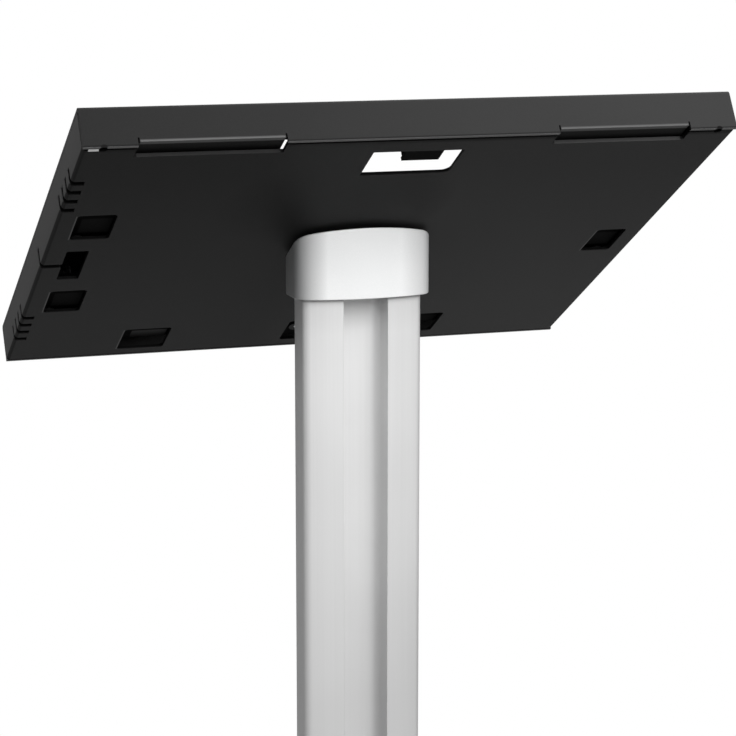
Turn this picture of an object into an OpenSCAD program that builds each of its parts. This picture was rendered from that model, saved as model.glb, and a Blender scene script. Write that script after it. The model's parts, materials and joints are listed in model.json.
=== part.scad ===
// Floor stand that holds a tablet in a locking steel enclosure on a telescopic mast.
// Millimetres, +Z up. The origin is on the floor, on the axis of the mast.
// The enclosure is drawn in its own frame: u across, v down its slope, w out of its rear face.

/* [Stand] */
// Height of the swivel point above the floor
pivot_h = 1074; // [1000:1:1150]
// Swivel point in front of the mast axis
pivot_y = 7; // [5:0.5:8]
// Slope of the enclosure from the horizontal, in degrees
tilt = 31; // [28:1:34]

/* [Base] */
// Width of the base plate
base_w = 380; // [340:5:460]
// Depth of the base plate
base_d = 380; // [340:5:460]
// Thickness of the base plate
base_t = 8; // [6:1:12]
// Corner radius of the base plate
base_corner_r = 24; // [5:1:50]
// Edge rounding of the base plate, seen from above
base_edge = 1.5; // [0.5:0.5:3]
// Radius of a rubber foot
foot_r = 16; // [10:1:22]
// Height of a rubber foot
foot_h = 4; // [3:0.5:8]
// Chamfer under a rubber foot
foot_edge = 1.5; // [0.5:0.25:2.5]
// Distance of each foot from the base plate's edges
foot_inset = 26; // [23:1:36]
// Spacing of the four floor anchor holes, across and along
anchor_spacing = 240; // [180:5:260]
// Radius of an anchor hole
anchor_r = 4.5; // [3:0.25:6]

/* [Column foot] */
// Width of the foot flange
flange_w = 120; // [110:1:150]
// Depth of the foot flange
flange_d = 88; // [80:1:110]
// Thickness of the foot flange
flange_t = 8; // [6:1:12]
// Corner radius of the foot flange
flange_corner_r = 14; // [8:1:20]
// Height of the plug that the column stands over
plug_h = 56; // [40:1:80]
// Wall of the plug
plug_wall = 6; // [5:0.5:7]
// Thickness of the foot under the plug's hollow
plug_floor = 4; // [3:0.5:5]
// Half spacing of the base screws across
base_screw_x = 48; // [46:1:50]
// Half spacing of the base screws along
base_screw_y = 32; // [30:1:33]
// Radius of a base screw
base_screw_r = 3; // [2.5:0.25:3]
// Radius of a base screw's countersunk head
base_screw_head_r = 5.6; // [5:0.1:6]
// Distance of a base screw's tip below the flange's top
base_screw_tip = 3; // [2.5:0.25:4]
// Width across the flats of a base screw's socket
base_socket = 4; // [3:0.5:4.5]
// Height of the two cross screws above the flange
cross_screw_z = [16, 40];
// Radius of a cross screw
cross_screw_r = 2.5; // [2:0.25:3]
// Radius of a cross screw's head
cross_head_r = 4.4; // [4:0.1:5]
// Height of a cross screw's head
cross_head_h = 2.4; // [2:0.2:3]
// Width across the flats of a cross screw's socket
cross_socket = 3; // [2:0.5:3.5]

/* [Mast] */
// Width of the mast
mast_w = 57.3; // [54:0.3:60]
// Depth of the mast
mast_d = 27; // [26:0.5:30]
// Radius of the mast's bowed front and rear faces
mast_face_r = 90; // [80:1:120]
// Radius of the mast's four corners
mast_corner_r = 4.5; // [4:0.25:5]
// Wall of the mast
mast_wall = 2.2; // [1.8:0.1:2.4]
// Width of the cable channel in the mast's rear face
channel_w = 21.2; // [19:0.1:22]
// Depth of the cable channel
channel_d = 15; // [13:0.5:16]
// Radius at the floor of the cable channel
channel_r = 4.6; // [3:0.1:6]
// Distance of each screw port from the mast's middle
port_x = 19.2; // [18.6:0.1:19.8]
// Outer radius of a screw port
port_boss_r = 4.5; // [4:0.1:5]
// Radius of a screw port's bore
port_r = 2.55; // [2.3:0.05:2.8]
// Width of the web that holds a screw port
port_web = 2; // [1.5:0.1:3]
// Length of the mast below its top
mast_len = 536; // [500:1:600]

/* [Column] */
// Height of the column's top above the floor
column_top = 776; // [740:1:800]
// Gap between the mast and the column's inside
column_gap = 3; // [2.6:0.1:3.6]
// Wall of the column
column_wall = 2.4; // [2:0.1:3]
// Height of the cable exit above the floor
exit_z = 112; // [100:1:140]
// Radius of the cable exit
exit_r = 10; // [8:0.5:11]
// Wall of the cable grommet
grommet_wall = 2; // [1.5:0.1:2.5]
// How far the grommet's rim stands out round the cable exit
grommet_rim = 2.5; // [1.5:0.25:4]
// Thickness of the grommet's rim
grommet_t = 2; // [1.5:0.25:3]
// Length of the guide bush inside the column
bush_len = 78; // [60:1:100]
// Thickness of the guide bush's top rim
bush_rim = 3; // [2:0.5:5]
// Length of the glide shoe along the mast
shoe_len = 40; // [30:1:60]
// Thickness of the glide shoe's end plate
shoe_plate = 8; // [6.5:0.5:12]
// Height of a port screw's head
port_head_h = 3; // [2:0.25:4]
// Width across the flats of a port screw's socket
port_socket = 3; // [2.5:0.5:4]
// How deep the port screws bite into the mast
port_bite = 14; // [8:1:24]

/* [Height clamp] */
// Height of the clamp housing below the column's top
housing_h = 48; // [42:1:60]
// Wall of the clamp housing
housing_wall = 3.5; // [3:0.25:5]
// Thickness of the clamp housing's top lip
housing_lip = 3; // [2:0.5:4]
// Depth of the clamp screw below the column's top
clamp_drop = 22; // [18:1:24]
// Radius of the boss on the clamp housing
boss_r = 11; // [9:0.5:13]
// How far the boss stands out of the housing
boss_out = 9; // [6:0.5:14]
// Radius of the clamp screw
clamp_screw_r = 4; // [3:0.25:4]
// Radius of the brake pad
brake_r = 4.9; // [4:0.1:5]
// Radius of the clamp knob
knob_r = 18; // [15:0.5:24]
// Thickness of the clamp knob
knob_t = 15; // [12:0.5:24]
// Gap between the boss and the clamp knob
knob_gap = 1; // [0.5:0.25:3]
// Radius of the clamp knob's hub
knob_hub_r = 9; // [7:0.5:11]
// Length of the clamp knob's hub on the column's side
knob_hub_len = 4; // [2:0.5:6]
// Thickness of the clamp knob's cap over the screw
knob_cap = 4; // [2.5:0.5:6]
// Chamfer round the clamp knob's outer face
knob_edge = 2; // [1:0.25:3]
// Number of lobes on the clamp knob
knob_lobes = 6; // [5:1:8]
// Radius of each finger hollow between the lobes
knob_hollow_r = 6; // [4:0.5:7]

/* [Head] */
// Height of the collar's lower edge below the swivel point
collar_drop = 20.6; // [20.5:0.1:24]
// How far the collar stands out round the mast
collar_out = 3.9; // [3:0.1:4.5]
// Height of the mast's top below the swivel point
mast_drop = 18; // [17.5:0.25:18.5]
// Gap between the collar's slanted top and the enclosure
head_gap = 1.7; // [1.3:0.1:2]
// Radius of the swivel bolt
pivot_r = 4; // [3.5:0.25:4]
// Radius of the swivel bolt's low head
pivot_head_r = 8; // [7:0.25:9]
// Thickness of the swivel bolt's low head
pivot_head_t = 3.4; // [2.5:0.1:3.5]
// Radius of the friction washer
washer_r = 11; // [9:0.5:12]
// Depth of the solid seat under the swivel bolt
seat_t = 5.8; // [5:0.1:6]
// Radius of the pocket for the springs and nut
pocket_r = 8.2; // [8:0.1:8.4]
// Height of the two disc springs together
spring_h = 2.1; // [1.6:0.1:2.2]
// Thickness of the swivel nut
pivot_nut_t = 4.8; // [4:0.1:5]
// Width across the flats of the swivel nut
pivot_nut_flats = 13; // [11:0.5:14]
// Width across the flats of the swivel bolt's socket
pivot_socket = 5; // [4:0.5:6]
// Height above the mast's top at which the head screws bear
head_screw_seat = 7; // [5:0.5:8]
// Distance of the stop pin from the swivel bolt
stop_r = 15; // [14:0.25:15.5]
// Radius of the stop pin
stop_pin_r = 1.5; // [1.25:0.05:1.75]
// Swivel range between landscape and portrait, in degrees
swivel_range = 90; // [45:5:90]

/* [Enclosure] */
// Width of the enclosure
panel_w = 291; // [284:1:300]
// Height of the enclosure along its slope
panel_h = 243.5; // [238:0.5:250]
// Thickness of the enclosure
panel_t = 18.5; // [18:0.25:21]
// Distance of the swivel point from the enclosure's top edge
pivot_v = 116.6; // [110:0.1:122]
// Thickness of the steel sheet
sheet = 1.6; // [1.5:0.1:2]
// Inner radius of the sheet's bends
bend_in = 0.3; // [0.2:0.1:2]
// Gap between the tray and the cover's top wall
top_gap = 1.6; // [0.3:0.1:2]
// Gap between the tray and the cover's bottom wall
bottom_gap = 0.9; // [0.8:0.05:1.5]
// Gap between the tray's side walls and the cover's frame
rim_gap = 0.2; // [0.15:0.05:0.5]
// Distance of the display window from the side edges
display_side = 34; // [31:0.5:40]
// Distance of the display window from the top edge
display_top = 33; // [30:0.5:40]
// Distance of the display window from the bottom edge
display_low = 48.5; // [44:0.5:54]
// Corner radius of the display window
display_r = 6; // [1:0.5:12]
// Thickness of the foam gasket round the display window
gasket_t = 1; // [0.5:0.1:1.5]
// Width of the foam gasket
gasket_w = 6; // [4:0.5:8]
// Distance of the foam gasket from the display window's edge
gasket_back = 1; // [0.5:0.25:2]

/* [Rear openings] */
// Distance of the left hook notch from the left edge, and its length
left_notch = [22.5, 63.5];
// Distance of the right hook notch from the right edge, and its length
right_notch = [22, 62.4];
// Depth of the hook notches
notch_d = 10.25; // [8:0.25:11]
// How far the cover's hook tongues reach in
tongue_len = 15; // [13:0.5:18]
// Running gap between the hook tongues and the tray
tongue_gap = 0.3; // [0.2:0.05:0.6]
// Side gap between a hook tongue and its notch
tongue_side = 1; // [0.8:0.1:1.6]
// Width of the slots beside a hook tongue in the cover's top wall
tongue_slot = 0.7; // [0.5:0.05:0.8]
// Radius of the relief holes near the top corners
relief_r = 1.9; // [1.2:0.1:2.2]
// Distance of the relief holes from the side edges and the top edge
relief_in = [8.6, 2.4];
// How far the relief holes reach up the cover's top wall
relief_rise = 2; // [1:0.25:4]
// Corner tabs of the tray's top edge: distance from the side edges and length
corner_tab = [2.4, 4.8];
// Gap between the corner tabs and the cover's top wall
tab_gap = 0.3; // [0.2:0.05:0.6]
// Camera cut-out: shift of its middle, distance from the top edge, width and height
camera_window = [1.6, 13.5, 41, 23];
// Radius of the camera cut-out's one round corner
camera_r = 4; // [2:0.25:6]
// Cable hole: distance from the left edge, place of its middle below the enclosure's, width and height
cable_window = [9.6, 1.5, 10.1, 32.5];
// Upper left bracket window: the same four
upper_window = [8.6, -40.6, 17.6, 25.9];
// Lower left bracket window: the same four
lower_window = [9.2, 45, 17.2, 26.3];
// Right bracket window: the same four, from the right edge
right_window = [9.1, 0, 15.1, 25.4];
// Bottom left bracket window: distance from the left and bottom edges, width and height
near_window = [54, 8.3, 23.4, 26.5];
// Bottom right bracket window: distance from the right and bottom edges, width and height
far_window = [71.2, 9.5, 23, 25.2];
// Lock window: distance of its top edge from the lock's axis, width and height
lock_window = [9.6, 14.7, 25.2];
// Corner radius of the windows
cut_r = 2; // [1:0.25:3]
// Width of the vent slits and the cable slit
slit = 3.9; // [2:0.1:4.4]
// Distance of the cable slit below the cable hole's top edge
slit_drop = 14.3; // [8:0.1:18]
// Distance of the upper vents' first slit from the top edge
vent_top = 34.8; // [32:0.2:36]
// Distance of the lower vents' first slit from the bottom edge
vent_low = 57.4; // [52:0.1:58]
// Pitch of the vent slits
vent_pitch = 9; // [7:0.25:10]
// Length of the vent slits over the rear face
vent_u = 6; // [4:0.25:8]
// Height of the vent slits up the side wall
vent_w = 7.25; // [5:0.25:12]
// Height of the cable slit up the side wall
slit_w = 9.2; // [8:0.1:14]

/* [Tablet brackets] */
// Distance of the tablet space from the side edges
tablet_side = 20.5; // [18:0.25:22]
// Distance of the tablet space from the top edge
tablet_top = 30; // [29:0.25:31.5]
// Distance of the tablet space from the bottom edge
tablet_low = 42.5; // [40.5:0.25:44.5]
// Thickness of the bracket sheet
bracket_t = 1.6; // [1.2:0.1:2]
// Height of the studs' shoulders that hold the brackets off the tray
bracket_lift = 1.8; // [1:0.1:2]
// Height of the bracket lips above the shoulders
lip_h = 10.5; // [8:0.25:12]
// Length of a bracket along the tablet's edge
bracket_len = 46; // [42:1:46]
// Length of the side and bottom bracket lips
lip_len = 26; // [18:1:30]
// Length of the top bracket along the tablet's edge
top_bracket_len = 17; // [14:1:20]
// Shift of the top bracket from the enclosure's middle
top_bracket_shift = 7.25; // [3:0.25:8]
// Reach of the brackets under the tablet
bracket_in = 13; // [11:0.5:16]
// Reach of the side brackets towards the wall
side_out = 13.5; // [12:0.25:14.5]
// Reach of the bottom brackets towards the wall
bottom_out = 25; // [20:0.5:30]
// Reach of the top bracket towards the wall
top_out = 24; // [21:0.5:24.5]
// Thickness of the edge pads
edge_pad_t = 1.5; // [1:0.1:2]
// Height of the support pads
support_pad_h = 4.4; // [4.2:0.1:5]
// Side of a support pad along the tablet's edge
support_pad_len = 20; // [12:1:24]
// Width of a support pad
support_pad_w = 9; // [6:0.5:10]
// Radius of a bracket stud
stud_r = 1.5; // [1.25:0.05:1.6]
// Height of a bracket stud above its shoulder
stud_h = 4.6; // [4.2:0.1:5]
// Radius of a bracket stud's shoulder
shoulder_r = 2.5; // [2.2:0.1:2.8]
// Distance of a bracket's studs behind its lip
stud_back = 6; // [5.5:0.25:7]
// Distance of a bracket's studs from its ends
stud_end = 5; // [4:0.25:6]
// Distance of the top bracket's stud behind its lip
top_stud_back = 19; // [18:0.25:20]
// Length of the adjusting slots
slot_len = 8; // [6:0.5:9]
// Thickness of a bracket nut
nut_t = 2.4; // [2:0.1:3]
// Width across the flats of a bracket nut
nut_flats = 5.5; // [5:0.25:6]

/* [Swivel plate] */
// Width of the swivel plate
swivel_w = 90; // [60:1:120]
// Height of the swivel plate
swivel_h = 70; // [50:1:100]
// Corner radius of the swivel plate
swivel_corner_r = 8; // [3:1:15]
// Thickness of the swivel plate
swivel_t = 2; // [1.5:0.1:2.2]

/* [Lock] */
// Distance of the lock's axis from the bottom edge
lock_low = 24.5; // [23.5:0.25:25.5]
// Radius of the lock barrel
barrel_r = 4.5; // [4:0.1:5]
// Radius of the lock barrel's face
barrel_face_r = 5.6; // [5:0.1:6]
// Length of the lock barrel inside the tray
barrel_len = 8.4; // [8:0.1:8.6]
// Radius of the key plug
plug_r = 3; // [2.5:0.1:3.2]
// Length of the cam from the lock's axis
cam_len = 17.5; // [16:0.25:19]
// Width of the cam
cam_w = 8; // [6:0.5:9]
// Thickness of the cam
cam_t = 1.6; // [1.2:0.1:2]
// Width and height of the lock plate
lock_plate = [40, 26.8];
// Thickness of the lock plate
lock_plate_t = 2; // [1.5:0.1:2.5]
// Distance of the lock plate's lower edge from the lock's axis
lock_plate_low = 12.75; // [12:0.25:13.5]
// Thickness of the lock's nut
lock_nut_t = 2.4; // [2:0.1:3]
// Width across the flats of the lock's nut
lock_nut_flats = 12; // [11:0.5:13]
// Radius of the cam screw's head
cam_head_r = 3.2; // [2.5:0.1:3.5]
// Thickness of the cam screw's head
cam_head_t = 1.2; // [0.8:0.1:1.4]
// Width and height of the keyhole
keyhole = [1.2, 4];
// Width of the catch on the cover
catch_w = 24; // [16:1:30]
// Reach of the catch from the cover's bottom wall
catch_len = 12; // [10:0.25:12.5]
// Height of the catch's underside above the rear face
catch_z = 7.6; // [7:0.1:8]
// Thickness of the catch
catch_t = 1.6; // [1.2:0.1:1.8]

/* [Clearances] */
// Radial clearance of a screw in its hole
screw_gap = 0.1; // [0.05:0.01:0.2]
// Radial clearance of a turning shaft in its bore
shaft_gap = 0.08; // [0.04:0.01:0.1]
// Running gap between sliding faces
slide_gap = 0.3; // [0.2:0.05:0.5]
// Gap between fitted faces of one assembly
seat_gap = 0.1; // [0.05:0.01:0.2]

/* [Hidden] */
$fn = 64;
eps = 0.01;
over = 40;

base_top = foot_h + base_t;
flange_top = base_top + flange_t;
column_inner = column_gap;
column_outer = column_gap + column_wall;
housing_inner = column_outer + seat_gap;
housing_outer = housing_inner + housing_wall;
housing_bottom = column_top - housing_h;
lip_bottom = column_top + bush_rim + seat_gap;
housing_top = lip_bottom + housing_lip;
clamp_z = column_top - clamp_drop;
mast_half = mast_w / 2;
mast_top = pivot_h - mast_drop;
mast_bottom = mast_top - mast_len;
collar_bottom = pivot_h - collar_drop;
bush_bottom = column_top - bush_len;
boss_end = mast_half + housing_outer + boss_out;
brake_start = mast_half + seat_gap + eps;
brake_end = mast_half + column_inner;
knob_start = boss_end + knob_gap + knob_hub_len;
knob_tip = knob_start + knob_t - knob_cap;
mid_u = panel_w / 2;
mid_v = panel_h / 2;
bend_r = sheet + bend_in;
frame_in = panel_t - sheet;
wall_top = frame_in - rim_gap;
tray_top = sheet + top_gap;
tray_bottom = panel_h - sheet - bottom_gap;
plate_w = sheet + swivel_t;
nut_start = seat_t + head_gap + spring_h;
nut_end = nut_start + pivot_nut_t;
barrel_end = sheet + barrel_len;
cam_start = barrel_end + 2 * seat_gap;
barrel_face_w = 0.8;
cam_bore_r = 2.05;
cam_screw_r = 1;
cam_screw_bite = 4;
bracket_seat = sheet + bracket_lift;
lock_v = panel_h - lock_low;
lip_left = tablet_side - edge_pad_t;
lip_right = panel_w - tablet_side + edge_pad_t;
lip_top = tablet_top - edge_pad_t;
lip_low = panel_h - tablet_low + edge_pad_t;
stop_end = plate_w - 0.6;
stop_depth = head_gap + 9;

// A window measured from another edge or the middle, as left edge, top edge, width and height
function from_right(row) = [panel_w - row[0] - row[2], row[1], row[2], row[3]];
function from_low(row) = [row[0], panel_h - row[1] - row[3], row[2], row[3]];
function from_middle(row) = [row[0], mid_v + row[1] - row[3] / 2, row[2], row[3]];
function middle_u(row) = row[0] + row[2] / 2;
function middle_v(row) = row[1] + row[3] / 2;

display = [display_side, display_top, panel_w - 2 * display_side, panel_h - display_top - display_low];
camera_cut = [mid_u + camera_window[0] - camera_window[2] / 2, camera_window[1],
              camera_window[2], camera_window[3]];
lock_cut = [mid_u - lock_window[1] / 2, lock_v - lock_window[0], lock_window[1], lock_window[2]];
cable_cut = from_middle(cable_window);
bracket_cuts = [
    from_middle(upper_window),
    from_middle(lower_window),
    from_right(from_middle(right_window)),
    from_low(near_window),
    from_right(from_low(far_window))
];
hook_zones = [
    [left_notch[0], left_notch[0] + left_notch[1]],
    [panel_w - right_notch[0] - right_notch[1], panel_w - right_notch[0]]
];
relief_at = [relief_in, [panel_w - relief_in[0], relief_in[1]]];
vent_starts = [vent_top, panel_h - vent_low];

// Every bracket: its lip's middle, the turn of its inward side and its outward reach
bracket_rows = [
    [lip_left, middle_v(bracket_cuts[0]), 0, side_out],
    [lip_left, middle_v(bracket_cuts[1]), 0, side_out],
    [lip_right, middle_v(bracket_cuts[2]), 180, side_out],
    [middle_u(bracket_cuts[3]), lip_low, -90, bottom_out],
    [middle_u(bracket_cuts[4]), lip_low, -90, bottom_out]
];
top_row = [mid_u + top_bracket_shift, lip_top, 90];

// Places children in the enclosure's frame
module in_panel() {
    translate([0, pivot_y, pivot_h])
        rotate([-tilt, 0, 0])
            translate([-mid_u, -pivot_v, 0])
                children();
}

// Places children on the swivel axis, in the enclosure's frame
module on_pivot(w) {
    in_panel() translate([mid_u, pivot_v, w]) children();
}

// Extrudes an outline in v and w across u
module across(u0, u1) {
    translate([u0, 0, 0]) rotate([90, 0, 90]) linear_extrude(u1 - u0) children();
}

// Extrudes an outline in u and w along v
module along(v0, v1) {
    translate([0, v1, 0]) rotate([90, 0, 0]) linear_extrude(v1 - v0) children();
}

// The mast's outline, grown by g on every side
module oval(g = 0) {
    half_w = mast_half + g;
    half_d = mast_d / 2 + g;
    face_r = mast_face_r + g;
    corner_r = mast_corner_r + g;
    centre_y = face_r - half_d;
    corner_x = half_w - corner_r;
    corner_y = sqrt(pow(face_r - corner_r, 2) - corner_x * corner_x) - centre_y;
    tangent_x = corner_x * face_r / (face_r - corner_r);
    intersection() {
        translate([0, centre_y]) circle(face_r, $fn = 240);
        translate([0, -centre_y]) circle(face_r, $fn = 240);
        square([2 * tangent_x, 2 * half_d + 1], center = true);
    }
    square([2 * half_w, 2 * corner_y], center = true);
    for (x = [-corner_x, corner_x], y = [-corner_y, corner_y])
        translate([x, y]) circle(corner_r);
}

// The cable channel's outline, grown by g
module channel(g = 0) {
    half_w = channel_w / 2 + g;
    floor_y = channel_d - mast_d / 2 + g;
    r = channel_r + g;
    mouth_y = -mast_d;
    translate([-half_w, mouth_y]) square([2 * half_w, floor_y - r - mouth_y]);
    translate([r - half_w, mouth_y]) square([2 * (half_w - r), floor_y - mouth_y]);
    for (x = [r - half_w, half_w - r])
        translate([x, floor_y - r]) circle(r);
}

module rounded(size, r) {
    translate([r, 0]) square([size[0] - 2 * r, size[1]]);
    translate([0, r]) square([size[0], size[1] - 2 * r]);
    for (x = [r, size[0] - r], y = [r, size[1] - r])
        translate([x, y]) circle(r);
}

module rounded_middle(size, r) {
    translate([-size[0] / 2, -size[1] / 2]) rounded(size, r);
}

// A window given as left edge, top edge, width and height
module window(row, r) {
    translate([row[0], row[1]]) rounded([row[2], row[3]], r);
}

// A box with its two lower corners rounded, open upwards
module bent(width, height, r) {
    translate([0, r]) square([width, height - r]);
    translate([r, 0]) square([width - 2 * r, r + eps]);
    for (x = [r, width - r])
        translate([x, r]) circle(r);
}

module bent_sheet(width, height) {
    difference() {
        bent(width, height, bend_r);
        translate([sheet, sheet]) bent(width - 2 * sheet, height, bend_r - sheet);
    }
}

// Everything above the slanted plane that faces the enclosure
module above_head() {
    on_pivot(-head_gap)
        translate([-over * 2, -over * 2, 0]) cube([over * 4, over * 4, over * 2]);
}

module hexagon(across_flats) {
    circle(across_flats / sqrt(3), $fn = 6);
}

module at_feet() {
    x = base_w / 2 - foot_inset;
    y = base_d / 2 - foot_inset;
    for (sx = [-1, 1], sy = [-1, 1])
        translate([sx * x, sy * y, 0]) children();
}

module at_base_screws() {
    for (x = [-base_screw_x, base_screw_x], y = [-base_screw_y, base_screw_y])
        translate([x, y, 0]) children();
}

module at_ports() {
    for (x = [-port_x, port_x])
        translate([x, 0, 0]) children();
}

// Both sides of the column, at each cross screw's height, pointing outwards along X
module at_cross_screws() {
    for (side = [0, 180], z = cross_screw_z)
        rotate([0, 0, side]) translate([0, 0, flange_top + z]) rotate([0, 90, 0]) children();
}

module base_plate() {
    color("#232426") difference() {
        translate([0, 0, foot_h]) {
            linear_extrude(base_t - base_edge)
                rounded_middle([base_w, base_d], base_corner_r);
            translate([0, 0, base_t - base_edge - eps])
                linear_extrude(base_edge + eps)
                    rounded_middle([base_w - 2 * base_edge, base_d - 2 * base_edge],
                                   base_corner_r - base_edge);
        }
        at_base_screws() {
            translate([0, 0, foot_h - 1]) cylinder(r = base_screw_r + screw_gap, h = base_t + 2);
            translate([0, 0, foot_h - eps])
                cylinder(r1 = base_screw_head_r + screw_gap, r2 = base_screw_r + screw_gap,
                         h = base_screw_head_r - base_screw_r);
        }
        for (x = [-1, 1], y = [-1, 1])
            translate([x * anchor_spacing / 2, y * anchor_spacing / 2, foot_h - 1])
                cylinder(r = anchor_r, h = base_t + 2);
    }
}

module rubber_feet() {
    color("#141414") at_feet() rotate_extrude()
        polygon([[0, 0], [foot_r - foot_edge, 0], [foot_r, foot_edge], [foot_r, foot_h], [0, foot_h]]);
}

module column_foot() {
    color("#2a2b2d") difference() {
        union() {
            translate([0, 0, base_top])
                linear_extrude(flange_t) rounded_middle([flange_w, flange_d], flange_corner_r);
            translate([0, 0, flange_top - eps])
                linear_extrude(plug_h + eps) oval(column_inner - seat_gap);
        }
        translate([0, 0, base_top + plug_floor])
            linear_extrude(plug_h + flange_t) oval(column_inner - seat_gap - plug_wall);
        at_base_screws() translate([0, 0, base_top - 1])
            cylinder(r = base_screw_r + screw_gap, h = flange_t + 2 - base_screw_tip);
        at_cross_screws() cylinder(r = cross_screw_r + screw_gap, h = over * 2);
    }
}

module base_screws() {
    head_h = base_screw_head_r - base_screw_r;
    color("#8f9194") at_base_screws() translate([0, 0, foot_h]) difference() {
        union() {
            cylinder(r1 = base_screw_head_r, r2 = base_screw_r, h = head_h);
            cylinder(r = base_screw_r, h = base_t + flange_t - base_screw_tip);
        }
        translate([0, 0, -1]) linear_extrude(3) hexagon(base_socket);
    }
}

module lower_column() {
    color("#d9dadb") difference() {
        translate([0, 0, flange_top])
            linear_extrude(column_top - flange_top) difference() {
                oval(column_outer);
                oval(column_inner);
            }
        at_cross_screws() cylinder(r = cross_screw_r + screw_gap, h = over * 2);
        translate([0, 0, exit_z]) rotate([90, 0, 0]) cylinder(r = exit_r, h = over);
        translate([0, 0, clamp_z]) rotate([0, 90, 0])
            cylinder(r = clamp_screw_r + 2 * slide_gap, h = over * 2);
    }
}

module cross_screws() {
    seat = mast_half + column_outer;
    color("#9a9c9f") at_cross_screws() difference() {
        union() {
            translate([0, 0, seat - column_wall - plug_wall])
                cylinder(r = cross_screw_r, h = column_wall + plug_wall + eps);
            translate([0, 0, seat]) cylinder(r1 = cross_head_r, r2 = cross_head_r - 1, h = cross_head_h);
        }
        translate([0, 0, seat + cross_head_h - 1.5]) linear_extrude(2) hexagon(cross_socket);
    }
}

module cable_grommet() {
    rear = mast_d / 2 + column_outer;
    neck = exit_r - screw_gap;
    color("#161616") translate([0, 0, exit_z]) rotate([90, 0, 0]) difference() {
        union() {
            translate([0, 0, rear + seat_gap]) cylinder(r = exit_r + grommet_rim, h = grommet_t);
            translate([0, 0, rear - column_wall - grommet_t])
                cylinder(r = neck, h = column_wall + grommet_t + 1);
        }
        translate([0, 0, rear - over]) cylinder(r = neck - grommet_wall, h = over * 2);
    }
}

module guide_bush() {
    color("#1b1c1d") difference() {
        union() {
            translate([0, 0, bush_bottom])
                linear_extrude(bush_len + eps) oval(column_inner - seat_gap);
            translate([0, 0, column_top]) linear_extrude(bush_rim) oval(column_outer);
        }
        translate([0, 0, bush_bottom - 1])
            linear_extrude(bush_len + bush_rim + 2) oval(slide_gap);
        translate([0, 0, clamp_z]) rotate([0, 90, 0])
            cylinder(r = brake_r + screw_gap, h = over * 2);
    }
}

module clamp_housing() {
    color("#242526") difference() {
        union() {
            translate([0, 0, housing_bottom])
                linear_extrude(housing_top - housing_bottom) oval(housing_outer);
            translate([mast_half, 0, clamp_z]) rotate([0, 90, 0])
                cylinder(r = boss_r, h = boss_end - mast_half);
        }
        translate([0, 0, housing_bottom - 1])
            linear_extrude(lip_bottom - housing_bottom + 1) oval(housing_inner);
        translate([0, 0, lip_bottom - 1]) linear_extrude(housing_lip + 2) oval(slide_gap * 2);
        translate([0, 0, clamp_z]) rotate([0, 90, 0])
            cylinder(r = clamp_screw_r + shaft_gap, h = over * 3);
    }
}

module brake_pad() {
    color("#b08d4a") translate([brake_start, 0, clamp_z]) rotate([0, 90, 0])
        cylinder(r = brake_r, h = brake_end - brake_start);
}

module clamp_screw() {
    start = brake_end + seat_gap;
    color("#a9abad") translate([start, 0, clamp_z]) rotate([0, 90, 0])
        cylinder(r = clamp_screw_r, h = knob_tip - start);
}

module clamp_knob() {
    color("#18191a") translate([knob_start, 0, clamp_z]) rotate([0, 90, 0]) difference() {
        union() {
            cylinder(r = knob_r, h = knob_t - knob_edge);
            translate([0, 0, knob_t - knob_edge - eps])
                cylinder(r1 = knob_r, r2 = knob_r - knob_edge, h = knob_edge);
            translate([0, 0, -knob_hub_len]) cylinder(r = knob_hub_r, h = knob_hub_len + 1);
        }
        for (i = [0 : knob_lobes - 1])
            rotate([0, 0, i * 360 / knob_lobes])
                translate([knob_r + knob_hollow_r / 2, 0, -1]) cylinder(r = knob_hollow_r, h = knob_t + 2);
        translate([0, 0, -over])
            cylinder(r = clamp_screw_r + shaft_gap, h = over + knob_t - knob_cap + eps);
    }
}

module mast() {
    color("#dcdddd") translate([0, 0, mast_bottom]) linear_extrude(mast_len) difference() {
        oval();
        channel();
        difference() {
            oval(-mast_wall);
            channel(mast_wall);
            for (side = [-1, 1]) {
                translate([side * port_x, 0]) circle(port_boss_r);
                translate([side * (port_x + mast_half) / 2, 0])
                    square([mast_half - port_x, port_web], center = true);
            }
        }
        for (side = [-1, 1])
            translate([side * port_x, 0]) circle(port_r);
    }
}

module glide_shoe() {
    color("#1b1c1d") difference() {
        translate([0, 0, mast_bottom - shoe_plate])
            linear_extrude(shoe_plate + shoe_len) oval(column_inner - slide_gap);
        translate([0, 0, mast_bottom]) linear_extrude(shoe_len + 1) oval(seat_gap);
        translate([0, 0, mast_bottom - shoe_plate - 1]) linear_extrude(shoe_plate + 2) intersection() {
            channel(-1);
            oval(-mast_wall);
        }
        translate([0, 0, mast_bottom - shoe_plate - 1]) at_ports() {
            cylinder(r = port_r, h = shoe_plate + 2);
            cylinder(r = port_boss_r + screw_gap, h = 1.5 + port_head_h);
        }
    }
}

module glide_screws() {
    color("#9a9c9f") translate([0, 0, mast_bottom - shoe_plate]) at_ports() difference() {
        union() {
            translate([0, 0, 0.5]) cylinder(r = port_boss_r - screw_gap, h = port_head_h);
            translate([0, 0, 0.5]) cylinder(r = port_r - screw_gap / 2, h = shoe_plate + port_bite);
        }
        linear_extrude(2) hexagon(port_socket);
    }
}

module collar() {
    color("#e9e9ea") difference() {
        translate([0, 0, collar_bottom]) linear_extrude(over * 2) difference() {
            oval(collar_out);
            oval(seat_gap * 2);
        }
        above_head();
    }
}

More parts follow.
